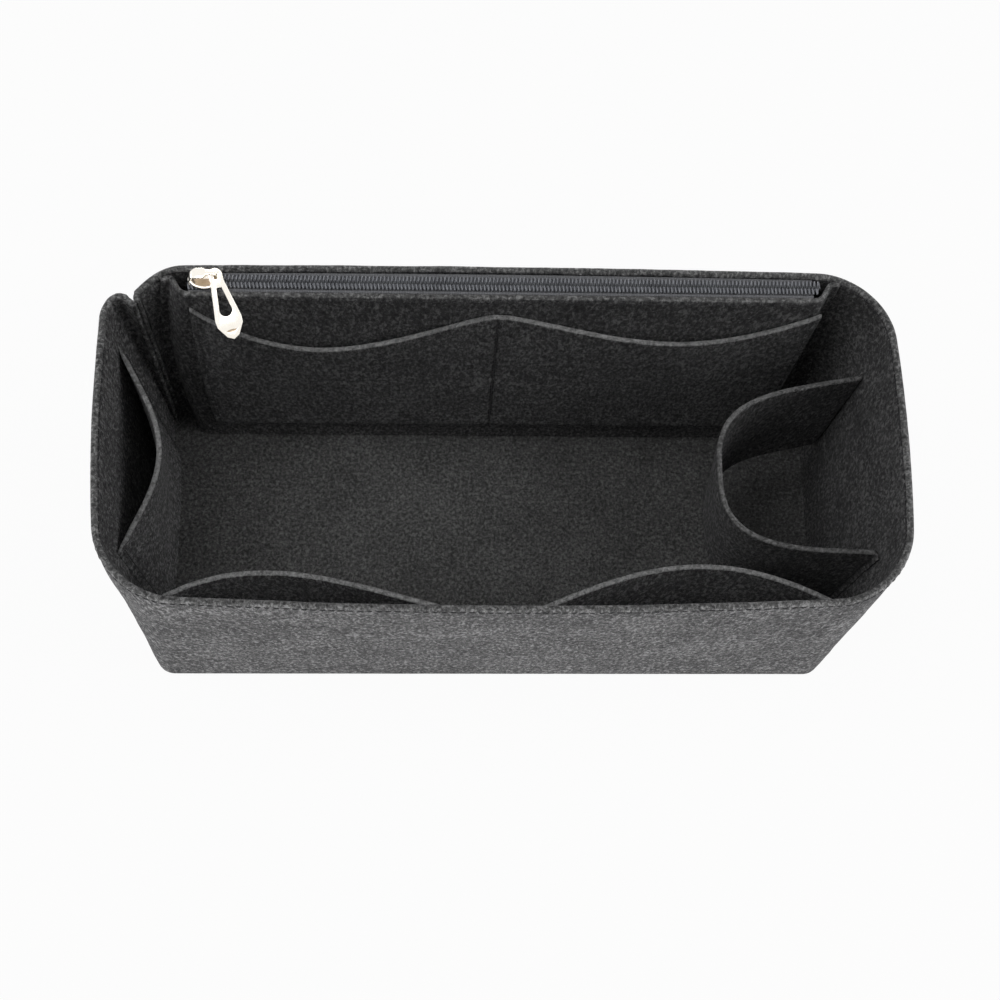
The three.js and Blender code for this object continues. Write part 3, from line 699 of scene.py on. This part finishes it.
def back_share(x):
    """How far x lies from the peak towards an end, from 0 to 1."""
    span = np.where(x < BACK_PEAK, BACK_LEFT + BACK_PEAK, BACK_RIGHT - BACK_PEAK)
    return np.abs(x - BACK_PEAK) / span


def back_top(x):
    """The height of the scooped upper edge."""
    drop = np.where(x < BACK_PEAK, *SCOOP_DROP)
    share = back_share(x)
    outside = share > SCOOP
    round_off = (np.hypot(share, SOFT) - SOFT) / (math.hypot(SCOOP, SOFT) - SOFT)
    t = np.abs(np.where(outside, (share - SCOOP) / (1 - SCOOP), 1 - round_off))
    lift = np.where(outside, t ** END_POWER, t ** PEAK_POWER)
    return HEIGHT - mix(drop, np.where(outside, END_DROP, PEAK_DROP), lift)


def back_grid():
    """Columns lie closer together at the middle seam."""
    t, v = np.meshgrid(np.linspace(-1, 1, 161), np.linspace(0, 1, 60))
    u = np.sign(t) * np.abs(t) ** 1.5
    x = mix(BACK_PEAK, np.where(u < 0, -BACK_LEFT, BACK_RIGHT), np.abs(u))
    z = mix(BACK_FOOT, back_top(x), v)
    share = back_share(x)
    swell = np.sin(np.pi * share) ** 2 * v ** 2
    y = divider_y(z) - PANEL_FELT - BACK_GAP - BACK_BULGE * swell
    return np.stack([np.where(u < 0, x - share * flare(z, POCKET_FLARE), x), y, z], -1)


back_pocket = back_grid()
back_groove = BACK_GROOVE * np.exp(-(((back_pocket[..., 0] - BACK_PEAK) / BACK_GROOVE_WIDTH) ** 2))
back_thin = 0.4 + 0.6 * smooth((back_pocket[..., 2] - BACK_FOOT) / 7.0)
# The back pockets take the lighter pocket felt as painted light
felt_piece(
    "felt_back_pockets", back_pocket, PANEL_FELT, "back_pocket_panel", (0.126, 0.240), "stretched",
    ["zip_divider"], area=0.0245, seed=31, face=felt_pocket_painted_light, groove=back_groove, thin=back_thin, room=1,
)

# Pocket on the left wall
u, v = np.meshgrid(np.linspace(0, 1, 44), np.linspace(0, 1, 60))
y = LEFT_MID + mix(-LEFT_HALF, LEFT_HALF, u)
z = mix(DIVIDER_FOOT, mix(LEFT_TOP_FRONT, LEFT_TOP_BACK, u), v)
swell = np.sin(np.pi * u) ** LEFT_ROUND * v ** POCKET_RISE
stand = LEFT_STAND * np.sin(np.pi * u) ** 0.3 * (1 - v) ** 4
left_pocket = np.stack([left_sewn(y, z) + LEFT_BULGE * swell + stand, y, z], -1)
# The left pocket takes the lighter pocket felt as painted light
felt_piece(
    "felt_left_pocket", left_pocket, PANEL_FELT, "left_pocket_panel", (0.088, 0.124), "stretched",
    ["wall_band"], seed=41, face=felt_pocket_painted_light, thin=pressed_ends(left_pocket, 7.0), room=1,
)

# Pockets on the front wall
u, v = np.meshgrid(np.linspace(-1, 1, 141), np.linspace(0, 1, 60))
x = u * FRONT_HALF
z = mix(DIVIDER_FOOT, FRONT_TOP, v)
part = np.clip((np.abs(x) - FRONT_MID) / (FRONT_HALF - FRONT_MID), 0, 1)
bulge, skew, full = (np.where(x < 0, *k) for k in (FRONT_BULGE, FRONT_SKEW, FRONT_FULL))
swell = bulge * np.sin(np.pi * part ** skew).clip(0) ** full * v ** POCKET_RISE
front_pocket = np.stack([x, front_sewn(x, z) + swell, z], -1)
felt_piece(
    "felt_front_pockets", front_pocket, PANEL_FELT, "front_pocket_panel", (0.117, 0.272), "stretched",
    ["wall_band"], seed=51, thin=pressed_ends(front_pocket, 7.0), room=-1,
)


# Bottle strap


def strap_row(z):
    t = (z - STRAP_FOOT) / (STRAP_TOP - STRAP_FOOT)
    reach = mix(REACH_FOOT, REACH_TOP, t)
    wall_x = float(right_sewn(0, z)) - RIM["end"] * t
    a = np.linspace(-STRAP_TURN, STRAP_TURN, 101)
    half, splay, power = (np.where(a < 0, *k) for k in (STRAP_HALF, STRAP_FLARE, STRAP_ROUND))
    out = np.cos(a) ** (2 / power)
    y = half * np.abs(np.sin(a)) ** (2 / power) + splay * (1 - out) ** 3
    loop = np.c_[wall_x - reach * out, np.sign(a) * y]
    ends = []
    for k, s in enumerate((-1, 1)):
        wide = STRAP_HALF[k] + STRAP_FLARE[k]
        wall = [(float(right_sewn(s * w, z)), s * w) for w in (wide + STRAP_FLANGE, wide)]
        ends.append(rounded(wall + [tuple(loop[0 if s < 0 else -1])], 2.5, 7))
    return level(np.concatenate([ends[0], loop[1:-1], ends[1][::-1]]), z)


strap = np.stack([strap_row(z) for z in np.linspace(STRAP_FOOT, STRAP_TOP, 40)])
# The strap's cut edges take the darker edge felt as painted shade
felt_piece(
    "felt_strap", strap, PANEL_FELT, "bottle_strap", (0.079, 0.182), "folded", ["wall_band"], seed=61,
    edge=felt_strap, plain=(6, 6), thin=pressed_ends(strap, 3.5), room=-1,
)

# Zip
CHAIN_Y = float(back_face(0, TAPE_Z)) - CHAIN_SPACE
COIL_FOOT = TAPE_Z + TAPE / 2 + ZIP_GAP


def spread_at(x):
    """How far a side stands from the closed chain behind the slider."""
    return SPREAD * smooth((SLIDER_X + SLIDER_L * 0.1 - x) / (SLIDER_L * 0.35))


def tape_wall(side, x, z):
    """Where a tape lies on the felt that it is sewn to."""
    stand = TOUCH + TAPE / 2
    if side > 0:
        return float(back_face(x, z)) - stand
    return float(divider_y(z)) + PANEL_FELT / 2 + stand


def zip_tape(side):
    """A tape that lies flat under its coil and turns down on the felt."""
    foot = TAPE_Z - TURN_DOWN
    lift = TAPE_Z + (TAPE_STEP if side < 0 else 0.0)
    rows = []
    for x in np.linspace(-TAPE_HALF, TAPE_HALF, 160):
        inner = CHAIN_Y + side * (CHAIN_GAP + float(spread_at(x)))
        fold = inner + side * TAPE_FLAT
        path = [(inner, TAPE_Z), (fold, TAPE_Z), (fold + side * 0.3, lift)]
        path += [(tape_wall(side, x, lift), lift), (tape_wall(side, x, foot), foot)]
        path = rounded(path, 0.6, 4)
        flat = mix(path[0], path[1], np.linspace(0, 1, 4)[:, None])
        down = mix(path[-2], path[-1], np.linspace(0, 1, 7)[1:, None])
        path = np.concatenate([flat, path[2:-1], down])
        rows.append(np.c_[np.full(len(path), x), path])
    points, faces, _ = sheet_mesh(np.array(rows), TAPE, 0.02, 0.03, rounding=0.4, steps=2, seed=71)
    name = "tape_front" if side < 0 else "tape_back"
    obj = make(name, points, faces, [tape_cloth], "organizer")
    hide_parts("zip_" + name)
    return obj


def zip_coil(side):
    """A wound filament whose loops hook between the other side's loops."""
    pitch, wire, turn_n, sides = COIL_PITCH, COIL_WIRE, 14, 7
    turns = int((2 * ZIP_HALF + 0.6) / pitch)
    phase = np.linspace(0, turns * 2 * math.pi, turns * turn_n + 1)
    x = -ZIP_HALF + 1 + pitch * phase / (2 * math.pi) + (pitch / 2 if side > 0 else 0)
    reach = COIL_W / 2 + 0.2
    centre = CHAIN_Y + side * (CHAIN_GAP + reach - COIL_HOOK + spread_at(x))
    lean = np.cos(phase)
    y = centre - side * reach * np.sign(lean) * np.abs(lean) ** 0.8
    head, tail = (lean + 0.25) / 1.25, (-0.25 - lean) / 0.75
    over = 1 - np.where(head > 0, 0.75 * head ** 2, 0.55 * tail ** 2)
    under = mix(0.45, 0.25, (lean + 1) / 2) - 0.3 * (1 - lean ** 2)
    z = COIL_FOOT + wire + (COIL_H - 2 * wire) * np.where(np.sin(phase) >= 0, over, under)
    path = np.stack([x, y, z], -1)
    along = unit(np.gradient(path, axis=0))
    ref = np.array([1.0, 0.0, 0.0])
    n1 = unit(ref - along * (along @ ref)[:, None])
    n2 = np.cross(along, n1)
    a = np.arange(sides) * 2 * math.pi / sides
    spoke = np.cos(a)[None, :, None] * n1[:, None] + np.sin(a)[None, :, None] * n2[:, None]
    ring = path[:, None] + wire * spoke
    faces = rod_faces(len(path), sides)
    name = "coil_front" if side < 0 else "coil_back"
    # Painted shade: the loop ends at the middle of the chain and at the outer edges, and the two end caps,
    # take the darker nylon
    low = np.repeat((lean[:-1] > 0.55) | (lean[:-1] < -0.85), sides)
    which = np.r_[low.astype(int), 1, 1]
    obj = make(name, ring.reshape(-1, 3), faces, [nylon, nylon_painted_shade], "organizer", which)
    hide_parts("zip_" + name)
    return obj


tapes = {s: zip_tape(s) for s in (-1, 1)}
coils = {s: zip_coil(s) for s in (-1, 1)}


# Slider and pull


def combined(parts, operation):
    """The mesh of the first closed body joined with, or cut by, the others. The bodies are removed."""
    keep = parts[0]
    for other in parts[1:]:
        mod = keep.modifiers.new("combine", "BOOLEAN")
        mod.operation, mod.object, mod.solver = operation, other, "EXACT"
    return settled(parts)


def settled(parts):
    """The mesh of the first body with its modifiers applied. The bodies are removed."""
    bpy.context.view_layer.update()
    graph = bpy.context.evaluated_depsgraph_get()
    mesh = bpy.data.meshes.new_from_object(parts[0].evaluated_get(graph))
    for part in parts:
        bpy.data.objects.remove(part)
    return mesh


def metal_piece(name, mesh, body, node):
    """A metal piece that stands for a node, with darker copies of the metal as painted shade in its
    recesses.
    """
    mesh.name = name
    obj = linked(name, mesh)
    mesh.materials.clear()
    for material in (metal, metal_painted_shade, metal_painted_deep_shade):
        mesh.materials.append(material)
    mesh.polygons.foreach_set("use_smooth", np.full(len(mesh.polygons), True))
    mesh.set_sharp_from_angle(angle=math.radians(40))
    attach(obj, body)
    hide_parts(node)
    return obj


def prism(outline, low, high, place):
    """A closed prism over an outline in X and Y, in millimetres."""
    bm = bmesh.new()
    foot = [bm.verts.new(place @ Vector((x, y, low)) / 1000) for x, y in outline]
    top = [bm.verts.new(place @ Vector((x, y, high)) / 1000) for x, y in outline]
    bm.faces.new(top)
    bm.faces.new(foot[::-1])
    for i in range(len(outline)):
        k = (i + 1) % len(outline)
        bm.faces.new((foot[i], foot[k], top[k], top[i]))
    bmesh.ops.recalc_face_normals(bm, faces=bm.faces)
    mesh = bpy.data.meshes.new("part")
    bm.to_mesh(mesh)
    bm.free()
    return linked("part", mesh)


def curve(a, b, c, n=6):
    """Points on a bend from a to c that heads for b."""
    a, b, c = (np.array(p, float) for p in (a, b, c))
    t = np.linspace(0, 1, n + 1)[:, None]
    return (a * (1 - t) ** 2 + b * 2 * t * (1 - t) + c * t * t).tolist()


def stack(outline, rings, place):
    """A closed body from one outline drawn at several shares of its size and heights."""
    shape = np.array(outline, float)
    n = len(shape)
    points = [(0, 0, rings[0][1])]
    for share, z in rings:
        points += [(x * share, y * share, z) for x, y in shape]
    points.append((0, 0, rings[-1][1]))
    faces = [(0, 1 + (i + 1) % n, 1 + i) for i in range(n)] + tube_faces(len(rings), n, 1)
    last = 1 + (len(rings) - 1) * n
    faces += [(last + i, last + (i + 1) % n, len(points) - 1) for i in range(n)]
    return loose(points, faces, place)


def loose(points, faces, place):
    """A helper body in millimetres, for joins and cuts."""
    mesh = bpy.data.meshes.new("part")
    mesh.from_pydata([place @ Vector(p) / 1000 for p in points], [], faces)
    return linked("part", mesh)


def sweep(path, widths, thick, place):
    """A bar with rounded edges along a path in X and Z, with its width along Y."""
    path = np.array(path, float)
    along = unit(np.gradient(path, axis=0))
    a = (np.arange(20) + 0.5) * 2 * math.pi / 20
    ca, sa = np.cos(a), np.sin(a)
    ca, sa = np.sign(ca) * np.abs(ca) ** 0.45, np.sign(sa) * np.abs(sa) ** 0.45
    points = []
    for (x, z), (tx, tz), w in zip(path, along, widths):
        points += [(x - tz * thick / 2 * c, w / 2 * q, z + tx * thick / 2 * c) for c, q in zip(ca, sa)]
    return loose(points, rod_faces(len(path), len(a)), place)


def circle(n):
    """Points on a circle of radius 1."""
    return [(math.cos(t), math.sin(t)) for t in np.linspace(0, 2 * math.pi, n + 1)[:-1]]


def slider():
    """A dished top plate, a lower plate, the wedge between them and the bridge.

    Gives the height at which the pull's eye is centred.
    """
    half, wide, slim = SLIDER_L / 2, SLIDER_W / 2, SLIDER_W * 0.4
    plate = [(0, -wide)] + curve((half - 1, -slim), (half, -slim), (half, 1 - slim))
    plate += curve((half, slim - 1), (half, slim), (half - 1, slim)) + [(0, wide)]
    corner = 1.6
    plate += curve((corner - half, wide), (-half, wide), (-half, wide - corner))
    plate += curve((-half, corner - wide), (-half, -wide), (corner - half, -wide))
    oval = [(TOP_HALF * x, TOP_WIDE * y) for x, y in circle(72)]
    top_z = COIL_FOOT + COIL_H + ZIP_GAP + PLATE
    foot_z = TAPE_Z - TAPE / 2 - ZIP_GAP
    at = Matrix.Translation((SLIDER_X, CHAIN_Y, top_z))
    below = Matrix.Translation((SLIDER_X, CHAIN_Y, foot_z))
    dish = [(0.9, -1.1), (0.97, -1.0), (1, -0.75), (1, -0.4), (0.975, -0.17), (0.93, -0.03)]
    dish += [(0.87, 0), (0.82, -0.06), (0.77, -0.22), (0.73, -0.38), (0.66, -0.46), (0.4, -0.5)]
    lower = [(0.95, -1.1), (1, -0.85), (1, -0.2), (0.97, 0)]
    parts = [stack(oval, dish, at), stack(plate, lower, below)]
    gap = SPREAD - ZIP_GAP
    end, mid, tip = 0.4 - half, 1.98 - half, 3.6 - half
    wedge = [(end, -gap), (mid, -gap), (tip, 0), (mid, gap), (end, gap)]
    middle = Matrix.Translation((SLIDER_X, CHAIN_Y, 0))
    parts.append(prism(wedge, foot_z - PLATE / 2, top_z - PLATE * 0.7, middle))
    nose, flat, bend = -5.2, -0.8, 1.8
    leg, high = half - LEG_INSET, BRIDGE - BRIDGE_BAR / 2
    arch = curve((nose, -0.6), (nose, high), (flat, high), 20)
    arch += [(x, high) for x in np.linspace(flat, leg - bend, 10)[1:]]
    arch += curve((leg - bend, high), (leg, high), (leg, high - bend), 10)[1:]
    arch += [(leg, z) for z in np.linspace(high - bend, -0.9, 9)[1:]]
    arch_x = np.array(arch)[:, 0]
    widths = mix(4.2, BRIDGE_BAR, smooth((arch_x - 0.1) / 1.4)) * mix(0.6, 1, smooth((arch_x - nose) / 2.4))
    parts.append(sweep(arch, widths, BRIDGE_BAR, at))
    body = metal_piece("slider_body", combined(parts, "UNION"), "slider", "zip_slider")
    # Painted shade: on the floor of the dish, the deep left end takes the dark metal and the front half the
    # tan metal
    for p in body.data.polygons:
        x, y, z = at.inverted() @ (p.center * 1000)
        if -0.6 < z < -0.1 and p.normal.z > 0.2 and (x / TOP_HALF) ** 2 + (y / TOP_WIDE) ** 2 < 0.68:
            p.material_index = 2 if x < -3.4 else int(y < 0.2)
    return top_z + BRIDGE / 2


def pull(eye_z):
    """A tapered tab with an eye, a slot and a small crease near its pointed end."""
    wide, neck = PULL_W / 2, EYE_R * 0.92
    a = np.linspace(math.pi * 0.06, math.pi * 0.94, 25)
    outline = [(EYE_R * math.cos(t), EYE_R * math.sin(t)) for t in a]
    left = [(-neck, 0.096), (-wide, 0.68), (-wide * 0.96, 0.78), (-wide * 0.45, 0.95)]
    left = [(x, -PULL_L * share) for x, share in left]
    outline += left + [(0, -PULL_L)] + [(-x, y) for x, y in left[::-1]]
    lean = Euler((PULL_DROOP, 0, PULL_LEAN), "XYZ").to_matrix().to_4x4()
    at = Matrix.Translation((SLIDER_X + SLIDER_L / 2 - LEG_INSET, CHAIN_Y, eye_z)) @ lean
    t = PULL_T / 2
    tab = prism(outline, -t, t, at)
    hole = prism([(EYE_HOLE * x, EYE_HOLE * y) for x, y in circle(32)], -3, 3, at)
    top, foot, half = -PULL_L * 0.19, -PULL_L * 0.54, PULL_W * 0.24
    slot = [(-half * 0.4, top), (half * 0.4, top)]
    slot += [(half * math.cos(k), foot + half * math.sin(k)) for k in np.linspace(0, -math.pi, 17)]
    slot = prism(slot, -3, 3, at)
    crease = [(1.9 * x, 0.42 * y - PULL_L * CREASE_AT) for x, y in circle(32)]
    crease = prism(crease, t - 0.3, t + 2, at)
    cut = linked("part", combined([tab, hole, slot, crease], "DIFFERENCE"))
    mod = cut.modifiers.new("ease", "BEVEL")
    mod.width, mod.segments, mod.limit_method, mod.angle_limit = 0.0003, 3, "ANGLE", math.radians(32)
    tab = metal_piece("pull_tab", settled([cut]), "pull", "zip_pull")
    # Painted shade: the inside of the crease takes the tan metal
    for p in tab.data.polygons:
        x, y, z = at.inverted() @ (p.center * 1000)
        if abs(x) < 2.1 and abs(y + PULL_L * CREASE_AT) < 0.6 and 0 < z < t - 0.1:
            p.material_index = 1


pull(slider())

# Sewing
rim_bare = 32 / band.shape[1]
rim_u = np.linspace(rim_bare, 1 - rim_bare, 900)
rim_v = np.interp(seam_z, band_z, np.arange(len(band_z))) / (len(band_z) - 1)
rim_lines = [on_grid(band, rim_u, rim_v, BAND_FELT - 0.4, s) for s in (1, -1)]
stitches("stitch_rim", rim_lines, pitch=3.3, share=0.72, radius=0.26, sink=0.1)

t = np.linspace(0.01, 0.985, 200)
middle = on_grid(back_pocket, 0.5, t[10:], PANEL_FELT - 1.0, 1)
stitches("stitch_back_middle", [middle], share=0.86, radius=0.32)
pocket_lines = [
    on_grid(back_pocket, 0.007, t, PANEL_FELT, 1),
    on_grid(back_pocket, 0.993, t, PANEL_FELT, 1),
    on_grid(back_pocket, np.linspace(0.007, 0.993, 300), 0.03, 0.5, 1),
]
stitches("stitch_back_pockets", pocket_lines)
left_lines = [on_grid(left_pocket, k, t, PANEL_FELT, 1) for k in (0.03, 0.97)]
stitches("stitch_left_pocket", left_lines)
front_lines = [on_grid(front_pocket, k, t, PANEL_FELT, -1) for k in (0.011, 0.483, 0.517, 0.989)]
stitches("stitch_front_pockets", front_lines)
strap_lines = [on_grid(strap, k, t, PANEL_FELT, -1) for k in (0.012, 0.988)]
stitches("stitch_strap", strap_lines)
divider_lines = [on_grid(divider, np.linspace(0.1, 0.9, 400), 0.976, PANEL_FELT, 1)]
stitches("stitch_divider", divider_lines)

# The coils and tapes of the zip each get a mesh of their own
for s in (-1, 1):
    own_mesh(coils[s])
    front_y, back_y = divider_top_y + PANEL_FELT / 2 + TAPE_STAND, float(back_face(0, TAPE_Z)) - TAPE_STAND
    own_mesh(tapes[s])

# Stage, light and camera
# Low strips round the part and boxes above it: place and size in metres, power in watts
LAMPS = {
    "front_strip": ((0, -1.45, 0.11), (1.6, 0.18), 11),
    "left_strip": ((-1.5, 0, 0.11), (1.2, 0.18), 7),
    "right_strip": ((1.5, 0, 0.11), (1.2, 0.18), 4),
    "back_strip": ((0, 1.45, 0.11), (1.6, 0.18), 10),
    "left_box": ((-0.55, -0.09, 1.35), (0.7, 0.9), 4.2),
    "right_box": ((1.0, -0.09, 1.05), (0.7, 0.9), 4.6),
    "top_box": ((-0.1, -0.05, 1.5), (0.5, 0.7), 1.4),
}
LAMP_AIM = Vector((0, 0, 0.1))


def seen_rays(tree, *kinds):
    """1 for the named kinds of ray, otherwise 0."""
    path = tree.nodes.new("ShaderNodeLightPath")
    out = path.outputs[kinds[0]]
    for kind in kinds[1:]:
        both = tree.nodes.new("ShaderNodeMath")
        both.operation = "MAXIMUM"
        tree.links.new(out, both.inputs[0])
        tree.links.new(path.outputs[kind], both.inputs[1])
        out = both.outputs[0]
    return out


def blended(tree, share, low, high, output):
    """Mixes two shaders into an output."""
    blend = tree.nodes.new("ShaderNodeMixShader")
    for socket, source in zip(blend.inputs, (share, low, high)):
        tree.links.new(source, socket)
    tree.links.new(blend.outputs[0], tree.nodes[output].inputs["Surface"])


def stage():
    """A pale floor that looks white, a white surround and soft lamps."""
    bpy.ops.mesh.primitive_plane_add(size=9, location=(0, 0, -0.0003))
    floor = bpy.context.object
    floor.name = "floor"
    mat = bpy.data.materials.new("floor_pale")
    mat.use_nodes = True
    tree = mat.node_tree
    shader = tree.nodes["Principled BSDF"]
    shader.inputs["Base Color"].default_value = (0.9, 0.9, 0.9, 1)
    shader.inputs["Roughness"].default_value = 0.9
    shader.inputs["Specular IOR Level"].default_value = 0.1
    glow = tree.nodes.new("ShaderNodeEmission")
    part = tree.nodes.new("ShaderNodeMath")
    part.operation = "MULTIPLY"
    part.inputs[1].default_value = 0.95
    tree.links.new(seen_rays(tree, "Is Camera Ray", "Is Glossy Ray"), part.inputs[0])
    blended(tree, part.outputs[0], shader.outputs[0], glow.outputs[0], "Material Output")
    floor.data.materials.append(mat)

    world = bpy.data.worlds.new("studio")
    bpy.context.scene.world = world
    world.use_nodes = True
    tree = world.node_tree
    soft = tree.nodes["Background"]
    soft.inputs["Color"].default_value = (1, 1, 1, 1)
    soft.inputs["Strength"].default_value = 0.09
    white = tree.nodes.new("ShaderNodeBackground")
    white.inputs["Color"].default_value = (1, 1, 1, 1)
    seen = seen_rays(tree, "Is Camera Ray", "Is Glossy Ray", "Is Transmission Ray")
    blended(tree, seen, soft.outputs[0], white.outputs[0], "World Output")

    for name, (place, size, power) in LAMPS.items():
        data = bpy.data.lights.new(name, "AREA")
        data.shape, data.energy = "RECTANGLE", power
        data.size, data.size_y = size
        obj = linked(name, data)
        obj.location = place
        obj.rotation_euler = (LAMP_AIM - Vector(place)).to_track_quat("-Z", "Y").to_euler()
        obj.visible_camera = False


def camera():
    """The photograph's camera: place in metres, turns in radians and focal length in pixels."""
    cx, cy, cz = -0.02469497, -0.18516084, 0.67642277
    pitch, yaw, roll, focal = 1.27401, 0.14157, 0.14131, 1524.8799
    sensor, frame_width = 36, 1000
    level_part = math.cos(pitch)
    forward = Vector((math.sin(yaw) * level_part, math.cos(yaw) * level_part, -math.sin(pitch)))
    right = Vector((math.cos(yaw), -math.sin(yaw), 0))
    up = right.cross(forward)
    across = right * math.cos(roll) + up * math.sin(roll)
    above = up * math.cos(roll) - right * math.sin(roll)
    data = bpy.data.cameras.new("camera")
    data.sensor_width = sensor
    data.lens = focal * sensor / frame_width
    data.clip_start, data.clip_end = 0.01, 30
    obj = linked("camera", data)
    axes = Matrix((across, above, -forward)).transposed().to_4x4()
    obj.matrix_world = Matrix.Translation((cx, cy, cz)) @ axes
    bpy.context.scene.camera = obj


stage()
camera()
bpy.context.scene.view_settings.view_transform = "Standard"
